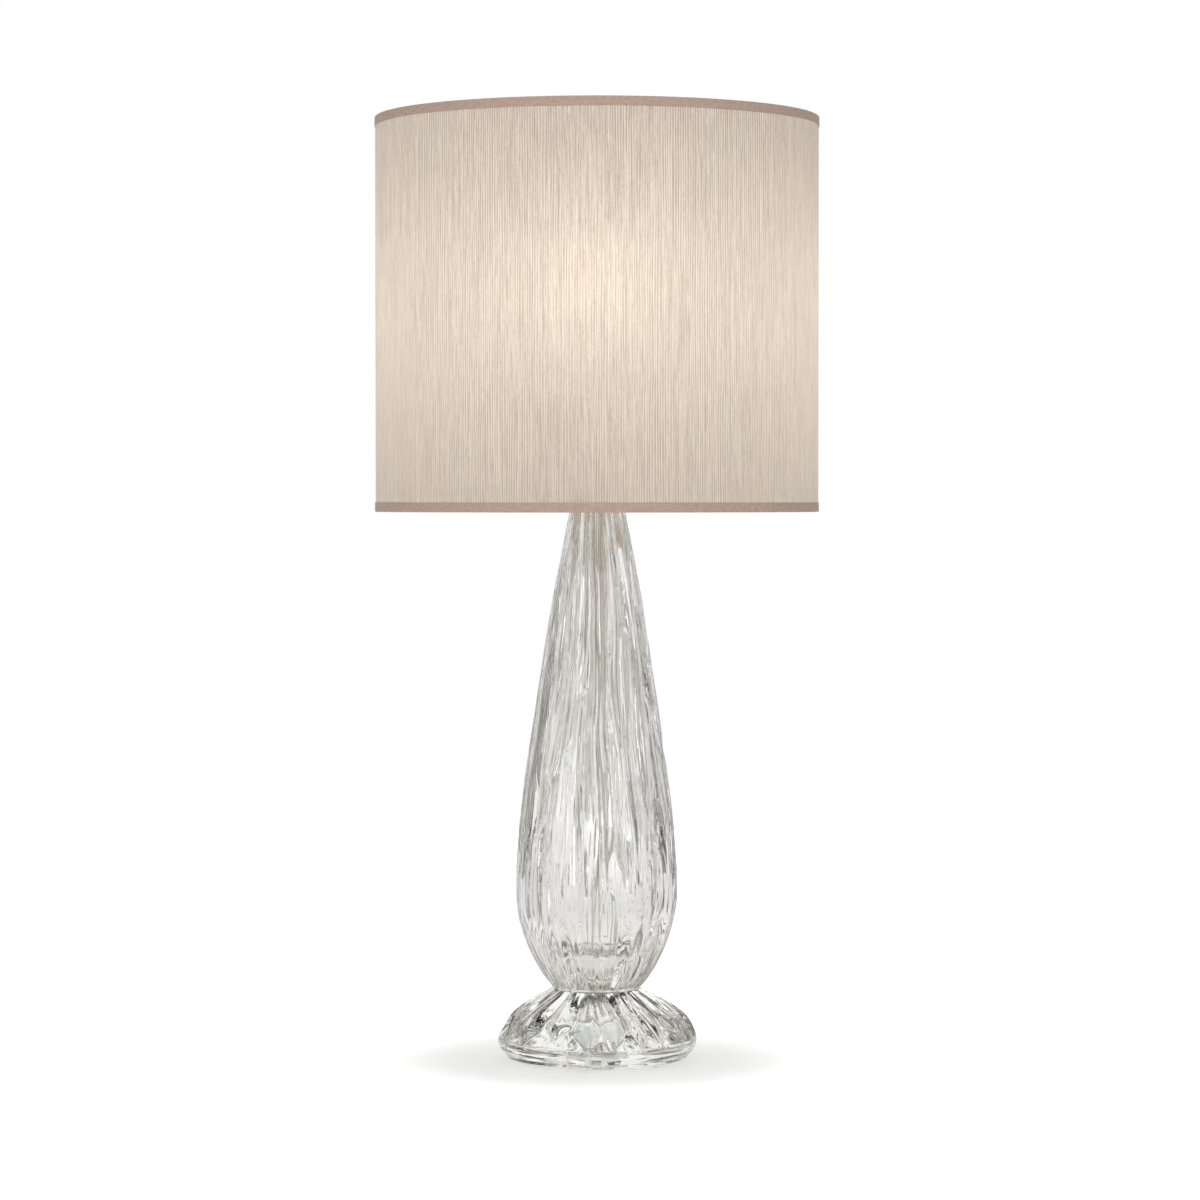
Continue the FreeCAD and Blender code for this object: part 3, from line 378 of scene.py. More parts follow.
def without(piece, tool):
    """Takes the tool's shape out of the piece."""
    modifier = piece.modifiers.new("cut", "BOOLEAN")
    modifier.object, modifier.operation, modifier.solver = tool, "DIFFERENCE", "EXACT"
    applied(piece)
    bpy.data.objects.remove(tool)


def together(piece, *others):
    """Several pieces as one."""
    whole = bmesh.new()
    for part in (piece, *others):
        whole.from_mesh(part.data)
    whole.to_mesh(piece.data)
    whole.free()
    for part in others:
        bpy.data.objects.remove(part)
    smoothed(piece, 50)


def facing_front(height, ahead=0):
    """Turns what points up to the front, and sets it at a height and ahead of the axis, in millimetres."""
    return Matrix.Translation((0, -ahead * MM, height * MM)) @ Matrix.Rotation(pi / 2, 4, "X")


def softened(name, node, edge):
    """A copy of a CAD node whose edges are rounded off, edge millimetres wide."""
    shell = bmesh.new()
    shell.from_mesh(nodes[node].data)
    bmesh.ops.remove_doubles(shell, verts=shell.verts, dist=1e-6)
    bmesh.ops.dissolve_limit(shell, angle_limit=radians(0.5), verts=shell.verts, edges=shell.edges)
    shell.verts.index_update()
    mesh = new_mesh(name, [v.co[:] for v in shell.verts], [[v.index for v in face.verts] for face in shell.faces])
    shell.free()
    piece = new_piece(name, mesh)
    bevel = piece.modifiers.new("edges", "BEVEL")
    bevel.width, bevel.segments, bevel.angle_limit = edge * MM, 2, radians(35)
    return smoothed(applied(piece), 35)


# ---- geometry trees


def shape_with(piece, tree, **inputs):
    """Runs a geometry tree on the piece and keeps what it makes as a plain mesh."""
    modifier = piece.modifiers.new("shape", "NODES")
    modifier.node_group = tree
    for item in tree.interface.items_tree:
        if item.in_out == "INPUT" and item.name in inputs:
            modifier[item.identifier] = inputs[item.name]
    return applied(piece)


def tree_with(name, **inputs):
    """A geometry tree with named inputs. Returns its graph and the wires of the inputs."""
    tree = bpy.data.node_groups.new(name, "GeometryNodeTree")
    kinds = {float: "NodeSocketFloat", int: "NodeSocketInt"}
    tree.interface.new_socket("Geometry", in_out="INPUT", socket_type="NodeSocketGeometry")
    for label, value in inputs.items():
        socket = tree.interface.new_socket(label, in_out="INPUT", socket_type=kinds[type(value)])
        socket.default_value = value
    tree.interface.new_socket("Finish", in_out="INPUT", socket_type="NodeSocketMaterial")
    tree.interface.new_socket("Geometry", in_out="OUTPUT", socket_type="NodeSocketGeometry")
    graph = Graph(tree)
    given = graph.add("NodeGroupInput")
    return graph, {item.name: given.part(item.name) for item in tree.interface.items_tree if item.in_out == "INPUT"}


def tree_done(graph, geometry, given):
    """Ends a geometry tree: real meshes with the one finish that it is given."""
    real = graph.add("GeometryNodeRealizeInstances", {"Geometry": geometry})
    coated = graph.add("GeometryNodeSetMaterial", {"Geometry": real, "Material": given["Finish"]})
    graph.add("NodeGroupOutput", {"Geometry": coated})
    return graph.tree


def pushed(graph, given, direction, distance):
    """Ends a geometry tree that moves the piece's corners, each by its distance along its direction."""
    offset = graph.add("ShaderNodeVectorMath", {0: direction, "Scale": distance}, operation="SCALE")
    shaped = graph.add("GeometryNodeSetPosition", {"Geometry": given["Geometry"], "Offset": offset})
    return tree_done(graph, shaped, given)


def attribute(graph, name):
    return graph.add("GeometryNodeInputNamedAttribute", {"Name": name}, data_type="FLOAT")


def groove_tree():
    """Cuts even grooves in a turned piece: flutes up its side, or with a rate, the threads of a screw.

    The rate is how many radians a groove turns for each metre that it climbs."""
    graph, given = tree_with("grooves", Starts=1, Rate=0.0, Depth=0.001, Sharpness=1.0)
    x, y, z = graph.add("GeometryNodeInputPosition").axes()
    wave = (attribute(graph, "around") * given["Starts"] - z * given["Rate"]).cos() * 0.5 + 0.5
    depth = wave ** given["Sharpness"] * given["Depth"] * attribute(graph, "skin")
    return pushed(graph, given, graph.unit(-x, -y), depth)


def ring_tree():
    """Sets copies of the piece round a circle."""
    graph, given = tree_with("ring_of_copies", Copies=4, Circle=0.05, Turn=0.0)
    angle = graph.add("GeometryNodeInputIndex") * TURN / given["Copies"] + given["Turn"]
    spot = graph.vector(angle.cos() * given["Circle"], angle.sin() * given["Circle"])
    spots = graph.add("GeometryNodePoints", {"Count": given["Copies"], "Position": spot})
    copies = graph.add("GeometryNodeInstanceOnPoints", {"Points": spots, "Instance": given["Geometry"]})
    return tree_done(graph, copies, given)


# ---- finishes


def make_clear_glass(name, tint, streak_turns, streak_height, streak_depth):
    paint = Paint(name)
    fine = paint.noise(paint.round_the_axis(streak_turns, streak_height), 1.0)
    broad = paint.noise(paint.round_the_axis(streak_turns / 3, streak_height * 2.0), 1.0)
    glass = paint.surface(tint, 0.0, through=1.0, ior=1.5, normal=paint.bump(fine * 0.5 + broad, streak_depth))
    paint.done(paint.light_passes(glass, (0.96, 0.97, 0.965)))


def make_ground_glass():
    """Glass where it was drilled and ground: matt, so that what is in the bore shows softly."""
    paint = Paint("ground_glass")
    glass = paint.surface((0.97, 0.975, 0.95), 0.42 + (paint.specks(900) - 0.5) * 0.1, through=1.0, ior=1.5)
    paint.done(paint.light_passes(glass, (0.93, 0.94, 0.93)))


def make_wet_joint():
    """Glass that clear silicone wets: light goes on through it, apart from a little haze."""
    paint = Paint("wet_joint")
    haze = paint.specks(260, 3.0).step(0.55, 0.8, 0.0, 0.05)
    paint.done(paint.between(haze, paint.clear((0.985, 0.985, 0.975)), paint.surface((0.9, 0.92, 0.9), 0.4)))


def make_metal(name, colour, rough, scratch):
    paint = Paint(name)
    hair, cloud = paint.specks(900), paint.specks(55, 3.0)
    tone = paint.mix(cloud.step(0.3, 0.75), tuple(0.9 * c for c in colour), colour)
    roughness = rough + (hair - 0.5) * scratch + (cloud - 0.5) * scratch
    paint.done(paint.surface(tone, roughness.held(0.03), 1.0, normal=paint.bump(hair, 0.00004)))


def make_plain(name, colour, rough, grain=700.0, depth=0.00006, **more):
    paint = Paint(name)
    fine, cloud = paint.specks(grain, 3.0), paint.specks(45, 3.0)
    tone = paint.mix(cloud.step(0.25, 0.8), tuple(0.88 * c for c in colour), colour)
    roughness = (rough + (cloud - 0.5) * 0.15).held(0.04)
    paint.done(paint.surface(tone, roughness, normal=paint.bump(fine, depth), **more))


def make_shade_cloth():
    """Slubbed cloth on a stiff film: warp streaks of several lengths over a fine weft, lit through. The share lit
    through is raised towards the bottom as painted light and lowered towards the top as painted shade.
    """
    paint = Paint("shade_cloth")
    u, v = paint.unrolled()
    cord_pitch, height = 0.0023, 0.353

    def threads(across, down, detail, phase):
        return paint.noise(paint.vector(u * across, v * down, phase), detail, 0.6)

    drift = threads(70, 7, 1.0, 4.4)
    cord = (u * (TURN / cord_pitch) + drift * 9.0).sin() * 0.5 + 0.5
    long = threads(900, 9, 1.0, 3.1)
    short = threads(1100, 42, 2.0, 7.7)
    hair = threads(2300, 160, 1.0, 1.3)
    weft = threads(240, 1500, 2.0, 5.9)
    patch = threads(9, 5, 3.0, 9.2)
    streak = long * 0.32 + short * 0.34 + hair * 0.20 + weft * 0.14 + (cord - 0.5) * drift.step(0.35, 0.65, 0.05, 0.22)
    lit = streak.step(0.34, 0.66)
    dark, mid, pale = (0.21, 0.165, 0.14), (0.37, 0.305, 0.27), (0.53, 0.455, 0.41)
    tone = paint.mix(lit.step(0.5, 1.0), paint.mix(lit.step(0.0, 0.5), dark, mid), pale)
    tone = paint.mix(patch.step(0.3, 0.7, 0.0, 0.10), tone, (0.40, 0.335, 0.28))
    normal = paint.bump(streak * 0.7 + weft * 0.3, 0.00022, 0.8)
    cloth = paint.surface(tone, 0.82, gloss=0.3, sheen=0.15, sheen_rough=0.5, through=0.04, normal=normal)
    # The share lit through follows the thread streaks, and is also raised near the bottom (painted light) and lowered
    # near the top (painted shade).
    see_through_and_painted_glow = 0.412 + (lit - 0.5) * 0.20 + v.step(0.0, 0.22, 0.075, 0.0) - v.step(0.16, height) * 0.09
    paint.done(paint.lit_through(see_through_and_painted_glow, cloth, (1.0, 0.96, 0.91)))


def make_trim_tape():
    paint = Paint("trim_tape")
    u, v = paint.unrolled()
    rib_pitch = 0.0009
    rib = (u * (TURN / rib_pitch)).sin() * 0.5 + 0.5
    worn = paint.noise(paint.vector(u * 220, v * 420), 3.0)
    tone = paint.mix(worn.step(0.3, 0.7), (0.44, 0.325, 0.26), (0.54, 0.405, 0.335))
    normal = paint.bump(rib * 0.5 + worn * 0.5, 0.00012, 0.7)
    cloth = paint.surface(tone, 0.78, gloss=0.25, sheen=0.1, normal=normal)
    paint.done(paint.lit_through(0.10, cloth, (0.95, 0.72, 0.52)))


def make_white_liner():
    paint = Paint("white_liner")
    tone = paint.mix(paint.specks(30, 3.0).step(0.3, 0.7), (0.78, 0.76, 0.715), (0.82, 0.80, 0.76))
    film = paint.surface(tone, 0.55, normal=paint.bump(paint.specks(1200, 1.0), 0.00003))
    paint.done(paint.light_passes(film, (0.96, 0.95, 0.93), seen_through=True))


def make_frosted_glass():
    """The lit bulb's glass, which glows from the height of its filament up."""
    paint = Paint("frosted_glass")
    _, _, z = paint.here.axes()
    fine = paint.specks(1500)
    glow = paint.mix(z.step(0.625, 0.672), (0.45, 0.30, 0.16), (1.0, 0.84, 0.62))
    look = {"glow": glow, "glow_level": 0.6, "normal": paint.bump(fine, 0.00002)}
    paint.done(paint.light_passes(paint.surface((0.34, 0.32, 0.29), 0.5 + (fine - 0.5) * 0.1, **look)))


make_clear_glass("clear_glass", (0.97, 0.965, 0.95), 16.0, 3.0, 0.00014)
make_clear_glass("foot_glass", (0.985, 0.988, 0.95), 14.0, 12.0, 0.00016)
make_frosted_glass()
make_plain("black_glass", (0.015, 0.015, 0.018), 0.12, 300.0)
make_metal("polished_nickel", (0.72, 0.70, 0.665), 0.12, 0.05)
make_metal("satin_nickel", (0.60, 0.585, 0.55), 0.3, 0.12)
make_metal("zinc_steel", (0.72, 0.74, 0.76), 0.42, 0.16)
make_metal("brass", (0.72, 0.52, 0.22), 0.25, 0.14)
make_metal("aluminium", (0.72, 0.72, 0.72), 0.28, 0.14)
make_metal("tin_solder", (0.5, 0.5, 0.5), 0.4, 0.2)
make_wet_joint()
make_ground_glass()
make_plain("clear_pad", (0.86, 0.88, 0.86), 0.4, 500.0)
make_plain("black_phenolic", (0.018, 0.016, 0.014), 0.2, 400.0, coat=0.3, coat_rough=0.1)
make_plain("insulating_fibre", (0.34, 0.23, 0.12), 0.8, 1600.0, 0.00012)
make_plain("glowing_filament", (0.9, 0.6, 0.3), 0.5, glow=(1.0, 0.72, 0.4), glow_level=3.0)
make_shade_cloth()
make_trim_tape()
make_white_liner()
make_plain("white_wire", (0.80, 0.79, 0.76), 0.32, 600.0, 0.0001, coat=0.4, coat_rough=0.15)
for node, piece in nodes.items():
    for place in piece.material_slots:
        place.material = finish[slot_of[node]]


def fit(piece, *stands_for, body=None, slot=None):
    """Rides the piece on its body, in place of the CAD nodes that it stands for, and gives it its finish."""
    first = stands_for[0]
    if not piece.data.materials or piece.data.materials[0] is None:
        piece.data.materials.clear()
        piece.data.materials.append(finish[slot or slot_of[first]])
    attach(piece, body or body_of[first])
    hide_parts(*stands_for)
    return piece
def coat(piece, *names):
    """Gives the piece several finishes, which its faces pick from."""
    for name in names:
        piece.data.materials.append(finish[name])

# ---- ribbed glass


def rib_tree():
    """Raises long uneven ribs on a turned glass body, with creases where two meet and hollows where one ends.

    The ribs are lines on the unrolled surface: how far round times a reach, by how far along the outline."""
    graph, given = tree_with(
        "pulled_ribs", Ribs=30, Stations=90, Start=0.0, End=0.5, Reach=0.06, Width=0.009, Depth=0.004, Flow=0.4,
        Stray=0.4, Gaps=0.3, Gap_pitch=6.0, Swell=0.001, Swell_pitch=20.0, Flow_pitch=5.0, Stray_pitch=7.0,
        Size_pitch=9.0, Seed=1, Sink=0.4, Taper=1.0, Tips=-1.0, Tip_stray=0.0, Fade=0.15,
    )
    spare = 5
    rows, ribs = given["Stations"], given["Ribs"]
    grid = graph.add("GeometryNodeMeshGrid", {2: ribs + 2 * spare, 3: rows, 0: 1.0, 1: 1.0})
    ends = graph.add("GeometryNodeInputMeshEdgeVertices", out="Position 1")
    apart = abs(ends.axes()[0] - ends.part("Position 2").axes()[0])
    lines = graph.add(
        "GeometryNodeDeleteGeometry", {"Geometry": grid, "Selection": apart > 1e-5}, domain="EDGE", mode="EDGE_FACE"
    )
    index = graph.add("GeometryNodeInputIndex")
    column = (index / rows + 1e-4).floor()
    up = (index - column * rows) / (rows - 1)
    rib = (column - spare) % ribs
    gap = TURN / ribs
    draw = {2: -0.5, 3: 0.5, "ID": rib, "Seed": given["Seed"]}
    chance = graph.add("FunctionNodeRandomValue", draw, 1, data_type="FLOAT")
    home = rib * gap + chance * gap * 0.7
    whole = ((column - spare) / ribs + 1e-4).floor() * TURN - pi
    run = up * (given["End"] - given["Start"])
    shift = given["Seed"] * 3.7

    def drift(turn, reach, height, pitch, detail):
        """Noise that closes round the axis: reach is how much it changes round, and pitch along the outline."""
        place = graph.vector(turn.cos() * reach, turn.sin() * reach, height * given[pitch] + shift)
        return graph.noise(place, detail)

    def presence(turn, height):
        """How present a rib is, below 0 in a gap and below its tip."""
        tip = given["Tips"] + (turn * 23.0 + shift).sin() * given["Tip_stray"]
        return (drift(turn, 8.0, height, "Gap_pitch", 0.0) - given["Gaps"]).least((height - tip) * 8.0)

    flow, stray = drift(home, 0.9, run, "Flow_pitch", 1.0), drift(home, 7.0, run, "Stray_pitch", 1.0)
    angle = whole + home + (flow - 0.5) * given["Flow"] + (stray - 0.5) * given["Stray"]
    line = graph.vector(angle * given["Reach"], run + given["Start"])
    placed = graph.add("GeometryNodeSetPosition", {"Geometry": lines, "Position": line})
    gone = {"Geometry": placed, "Selection": presence(angle, run + given["Start"]) < 0.0}
    kept = graph.add("GeometryNodeDeleteGeometry", gone, domain="POINT", mode="ALL")
    around, along, skin = attribute(graph, "around"), attribute(graph, "along"), attribute(graph, "skin")
    spot = graph.vector((around - pi) * given["Reach"], along)
    near = graph.add("GeometryNodeProximity", {"Geometry": kept, "Sample Position": spot}, target_element="EDGES")
    near_x, near_y, _ = near.axes()
    turn = near_x / given["Reach"]
    hit = drift(turn, 2.5, near_y, "Size_pitch", 0.0)
    strength = presence(turn, near_y).step(0.0, given["Fade"], 0.15, 1.0)
    width = given["Width"] * (0.55 + 0.9 * hit) * strength
    share = (near.part("Distance") / width).held()
    rise = (1 - share * share) * given["Depth"] * (0.5 + hit) * strength
    place = graph.add("GeometryNodeInputPosition")
    east, north, _ = place.axes()
    girth = ((east * east + north * north).root() / given["Reach"]).least(1.15) ** given["Taper"]
    swell = (graph.noise(place, scale=given["Swell_pitch"]) - 0.5) * 2 * given["Swell"]
    lift = (rise - given["Depth"] * given["Sink"] + swell) * skin * girth
    return pushed(graph, given, graph.add("GeometryNodeInputNormal"), lift)


RIBS, GROOVES, RING = rib_tree(), groove_tree(), ring_tree()

FOOT_FLOOR, FOOT_TOP, FOOT_BULGE = span("glass_foot")
COLUMN_FLOOR, COLUMN_TOP, COLUMN_BELLY = span("glass_column")


def column_radius(z):
    """The glass column's outer radius at a height above the table, both in millimetres."""
    waist, neck = 38.3, 21.5
    h, belly, shoulder = z - COLUMN_FLOOR, 87, COLUMN_TOP - COLUMN_FLOOR - 12
    if h < belly:
        return waist + (COLUMN_BELLY - waist) * cos(pi / 2 * (belly - h) / belly) ** 0.85
    t = min((h - belly) / (shoulder - belly), 1)
    share = 0.85 * cos(pi / 2 * t) + 0.15 * (1 - t) - 0.055 * sin(pi * t) ** 2
    return neck + (COLUMN_BELLY - neck) * share


def foot_radius(z):
    """The glass foot's outer radius at a height above the table, both in millimetres."""
    h, bulge, widest, top = z - FOOT_FLOOR, 17, FOOT_BULGE + 1.6, 37.4
    if h < bulge:
        return widest - 11.6 * ((bulge - h) / bulge) ** 2.5
    return widest - (FOOT_BULGE - top) * ((h - bulge) / (FOOT_TOP - FOOT_FLOOR - bulge)) ** 1.5


def ease(value, start, end):
    t = min(max((value - start) / (end - start), 0), 1)
    return t * t * (3 - 2 * t)


BORE, WETTED = 6.5, 36  # radii of the bores in the glass, and of what the gasket wets


def worked(piece, level, bored=0, ceiling=0):
    """Gives glass its other finishes: wetted where the gasket touches it, ground in the recess."""
    coat(piece, "wet_joint", "ground_glass")
    for face in piece.data.polygons:
        radius, z = hypot(*face.center.xy) / MM, face.center.z / MM
        if abs(z - level) < 0.01 and radius < WETTED:
            face.material_index = 1
        elif radius < bored and z < ceiling:
            face.material_index = 2
    return piece


def ribbed(piece, wide, fine, **shared):
    """Pulls the wide ribs, then the fine ones over them."""
    for ribs in (wide, fine):
        shape_with(piece, RIBS, **ribs, **shared)


def make_column():
    outside = []
    for z in np.linspace(COLUMN_FLOOR + 0.8, COLUMN_TOP - 0.8, 150):
        fade = 0.6 + 0.4 * ease(z, COLUMN_FLOOR, COLUMN_FLOOR + 15)
        fade *= 1 - ease(z, COLUMN_TOP - 22, COLUMN_TOP - 12)
        outside.append((column_radius(z), z, fade))
    lip = [(21.2, COLUMN_TOP - 0.2, 0), (20.5, COLUMN_TOP, 0), (14, COLUMN_TOP, 0), (13.2, COLUMN_TOP - 0.3, 0)]
    wall, narrow, floor, bowl = 7, 13, COLUMN_FLOOR + 14, 62
    inside = [(max(column_radius(z) - wall, narrow), z, 0) for z in np.linspace(COLUMN_TOP - 1, floor + bowl, 30)]
    for turn in np.linspace(0, pi / 2, 16)[1:]:
        z = floor + bowl * (1 - sin(turn))
        inside.append((BORE + (column_radius(z) - wall - BORE) * cos(turn) ** 1.2, z, 0))
    under = [(BORE, COLUMN_FLOOR + 7, 0), *[(r, COLUMN_FLOOR, 0) for r in (BORE, 15, 25, 33, 36.5)]]
    piece = lathe("column_glass", outside + lip + inside + under, 480)
    ribbed(
        piece,
        dict(Ribs=30, Width=0.0092, Depth=0.0036, Gaps=0.26, Swell=0.0003, Taper=0.7),
        dict(Ribs=90, Width=0.0026, Depth=0.0006, Gaps=0.30, Swell=0.0, Taper=1.5),
        Swell_pitch=12.0, Start=-0.01, End=0.52, Reach=0.055, Stations=90, Flow=0.40, Stray=0.42, Gap_pitch=6.0,
        Flow_pitch=3.5, Stray_pitch=6.0, Size_pitch=6.0, Seed=4, Sink=0.4, Finish=finish["clear_glass"],
    )
    fit(worked(piece, COLUMN_FLOOR), "glass_column")


def make_foot():
    """The foot: a bulging form with ribs that end in round tips, domed underneath, with a groove for the lead."""
    outside = []
    for z in np.linspace(FOOT_FLOOR + 1, FOOT_TOP - 0.8, 90):
        fade = 0.5 + 0.5 * ease(z, FOOT_TOP, FOOT_TOP - 15)
        fade *= 0.2 + 0.8 * ease(z, FOOT_FLOOR, FOOT_FLOOR + 4)
        outside.append((foot_radius(z), z, fade))
    top = [(r, FOOT_TOP, 0) for r in (37.5, 30, 18, BORE)]
    dome, rise, recess, ceiling = 64, 11, 19, FOOT_FLOOR + 17
    ball = (dome**2 + rise**2) / (2 * rise)

    def hollow(radius):
        return FOOT_FLOOR + rise - ball + sqrt(ball**2 - radius**2)

    inner = [(BORE, 45, 0), (BORE, ceiling, 0), (12, ceiling, 0), (recess - 1, ceiling, 0), (recess, ceiling - 1, 0)]
    inner += [(recess, hollow(recess) + 0.6, 0), (recess + 0.8, hollow(recess + 0.8), 0)]
    inner += [(r, hollow(r), 0.25 * ease(r, recess, 40)) for r in np.linspace(23, 62.5, 24)]
    inner += [(64, FOOT_FLOOR + 0.15, 0.1), (66, FOOT_FLOOR, 0), (72, FOOT_FLOOR, 0), (78, FOOT_FLOOR, 0)]
    piece = lathe("foot_glass", outside + top + inner, 360)
    ribbed(
        piece,
        dict(Ribs=22, Width=0.0105, Depth=0.0040, Gaps=0.16, Tips=0.026, Tip_stray=0.006, Swell=0.0009),
        dict(Ribs=66, Width=0.0030, Depth=0.0006, Gaps=0.25, Tips=0.022, Tip_stray=0.010, Swell=0.0),
        Swell_pitch=20.0, Start=0.0, End=0.14, Reach=0.06, Stations=70, Flow=0.5, Stray=0.45, Gap_pitch=8.0, Fade=0.16,
        Flow_pitch=6.0, Stray_pitch=9.0, Size_pitch=10.0, Seed=9, Sink=0.4, Finish=finish["foot_glass"],
    )
    half, spring, below = 4.5, 3.5, -3
    arch = [(half * cos(t), spring + half * sin(t)) for t in np.linspace(0, pi, 13)]
    back = facing_front(FOOT_FLOOR) @ Matrix.Scale(-1, 4, (0, 0, 1))
    without(piece, prism("lead_groove", [(half, below), *arch, (-half, below)], 110, back))
    fit(worked(smoothed(piece, 60), FOOT_TOP, recess + 0.5, ceiling + 0.1), "glass_foot")


def soft_ring(name, node, inner, air=0.1):
    """A ring that is pressed against glass. A film of air stays between them, as it does on the real one."""
    low, high, outer = span(node)
    corners = [(inner, low + air), (outer, low + air), (outer, high - air), (inner, high - air)]
    fit(lathe(name, rounded(corners, 0.5), 96), node)


def make_pads():
    _, high, _ = span("foot_pads")
    radius, circle, top = 6, 71.5, high - 0.12
    pad = lathe("foot_pads", rounded([(0, 0), (radius - 1, 0), (radius, top, 0.4), (0, top)], 0.5), 40)
    shape_with(pad, RING, Copies=4, Circle=circle * MM, Turn=pi / 4, Finish=finish["clear_pad"])
    fit(smoothed(pad, 50), "foot_pads")


def make_gasket():
    """The clear gasket: its flat faces wet the glass, and only its rim shows."""
    low, high, outer = span("joint_gasket")
    film, edge = 0.05, 0.15
    corners = [(BORE, low + film), (outer - 1, low + film), (outer, low + edge), (outer, high - edge)]
    corners += [(outer - 1, high - film), (BORE, high - film)]
    piece = lathe("clear_gasket", rounded(corners), 96)
    coat(piece, "clear_pad", "wet_joint")
    for face in piece.data.polygons:
        face.material_index = int(abs(face.normal.z) > 0.9)
    fit(piece, "joint_gasket")


make_column()
make_foot()
make_pads()
make_gasket()
soft_ring("neck_washer", "neck_gasket", 13)
soft_ring("clear_cushion", "base_cushion", 5.3)


# ---- rod and fittings

SLIP = 5.25  # the bore of what slides on the rod


def turned(name, node, corners, rounding=0.3, sides=64):
    """A turned piece in place of a CAD node."""
    fit(lathe(name, rounded(corners, rounding), sides), node)


def cut_round(name, node, corners, sides, rounding=0.3, place=None, **grooves):
    """A turned piece with flutes or a thread cut where its outline has skin, in place of a CAD node."""
    piece = lathe(name, rounded(corners, rounding), sides)
    shape_with(piece, GROOVES, Finish=finish[slot_of[node]], **grooves)
    if place:
        piece.data.transform(place)
    fit(smoothed(piece, 50), node)


def make_rod():
    low, high, radius = span("centre_rod")
    pitch, bore, end = 1.0, 3.3, 0.6
    corners = [(bore, low), (radius - end, low), (radius, low + end), *rows(radius, low + end, low + 20, pitch / 6)]
    corners += [*rows(radius, high - 45, high - end, pitch / 6), (radius - end, high), (bore, high)]
    cut_round("hollow_rod", "centre_rod", corners, 40, 0.1, Rate=TURN / pitch / MM, Depth=0.5 * MM)


def make_clamp():
    """The hexagon nut, which is a turned blank with coned faces cut back to its six flats, and its washer."""
    low, high, corner = span("base_nut")
    bore, cone, face = 5.05, 0.7, corner - 1.4
    corners = [(bore, low), (face, low), (corner, low + cone), (corner, high - cone), (face, high), (bore, high)]
    piece = lathe("clamp_nut", rounded(corners, 0.1), 144)
    flat = corner * cos(pi / 6) * MM
    for point in piece.data.vertices:
        reach = hypot(point.co.x, point.co.y)
        side = atan2(point.co.y, point.co.x) % (pi / 3) - pi / 6
        if reach * cos(side) > flat:
            point.co.x *= flat / (reach * cos(side))
            point.co.y *= flat / (reach * cos(side))
    fit(smoothed(piece, 25), "base_nut")
    low, high, outer = span("base_washer")
    turned("clamp_washer", "base_washer", [(SLIP, low), (outer, low), (outer, high), (SLIP, high)], 0.35, 96)


def make_neck():
    low, high, outer = span("neck_cap")
    _, glass_top, _ = span("neck_gasket")
    inner, hub = outer - 1.2, 11
    corners = [
        (SLIP, glass_top + 1.2), (SLIP, glass_top), (inner, glass_top, 1), (inner, low), (outer, low),
        (outer, low + 1.4), (outer - 0.5, low + 2.2), (outer - 0.5, glass_top + 1, 2.5), (hub + 3.5, high - 1.4, 3),
        (hub, high - 0.8), (hub - 1, high), (SLIP, high),
    ]
    turned("neck_cap_spun", "neck_cap", corners, 0.35, 96)
    low, high, radius = span("neck_spacer")
    knots = [(radius - 0.4, low + 3), (radius - 2.2, low + 9), (radius - 2.6, (low + high) / 2)]
    waist = flowing([*knots, (radius - 2.2, high - 9), (radius - 0.4, high - 3)])
    ends = [(SLIP, low), (radius, low), (radius, low + 1.8), (radius - 1, low + 2.2)]
    tops = [(radius - 1, high - 2.2), (radius, high - 1.8), (radius, high), (SLIP, high)]
    turned("neck_vase", "neck_spacer", [*ends, *waist, *tops], 0.25)
    low, high, radius = span("check_ring")
    rim = [(radius, low + 0.5, 0.1, 1), (radius, high - 0.5, 0.1, 1)]
    corners = [(SLIP, low), (radius - 0.9, low), *rim, (radius - 0.9, high), (SLIP, high)]
    cut_round("reeded_ring", "check_ring", corners, 360, 0.1, Starts=60, Depth=0.35 * MM)


make_rod()
make_clamp()
make_neck()
fit(softened("harp_strap", "harp_saddle", 0.35), "harp_saddle")


# ---- harp

HARP_FOOT = 40  # how far each leg of the harp stands from the axis


def make_harp():
    """The harp: one wire bowed round the bulb, with a flat eye on top and half-round feet in the ferrules."""
    _, sleeve_top, _ = span("ferrule_left")
    low, high, _ = span("harp")
    wide, wire, eye, hole, half_eye, foot = 58, 1.8, 8, 2.5, 2.5, 2.6
    crown, start = high - half_eye, sleeve_top + 0.3
    knee = start + 18
    right = [(HARP_FOOT, start - 3, 0), (HARP_FOOT, knee, 20), (wide, knee + 54, 40), (wide, crown, 46)]
    bend = [(x, z) for x, z, _ in rounded([*right, *[(-x, z, r) for x, z, r in right[::-1]]], steps=14)]
    piece = swept("harp_bow", bend, wire, 24)
    ring = [(hole, crown - half_eye), (eye, crown - half_eye), (eye, crown + half_eye), (hole, crown + half_eye)]
    half = [(-foot * cos(t), foot * sin(t)) for t in np.linspace(-pi / 2, pi / 2, 13)]
    feet = []
    for side in (-1, 1):
        stand = Matrix.Translation((side * (HARP_FOOT - 0.15) * MM, 0, low * MM)) @ Matrix.Scale(side, 4, (1, 0, 0))
        feet.append(prism("harp_foot", half, 15, stand))
    together(piece, lathe("harp_eye", rounded(ring, 0.6), 48), *feet)
    fit(piece, "harp")


def make_ferrules():
    for side, node in ((-1, "ferrule_left"), (1, "ferrule_right")):
        low, high, reach = span(node)
        outer, inner = reach - HARP_FOOT, reach - HARP_FOOT - 1
        grip = [(outer, low + 3, 0.1, 1), (outer, high - 3, 0.1, 1)]
        corners = [(inner, low), (outer, low), (outer, low + 2, 0.3), *grip]
        corners += [(outer, high - 2, 0.3), (outer, high), (inner, high)]
        place = Matrix.Translation((side * HARP_FOOT * MM, 0, 0))
        cut_round(f"{node}_sleeve", node, corners, 144, 0.35, place, Starts=24, Depth=0.25 * MM)


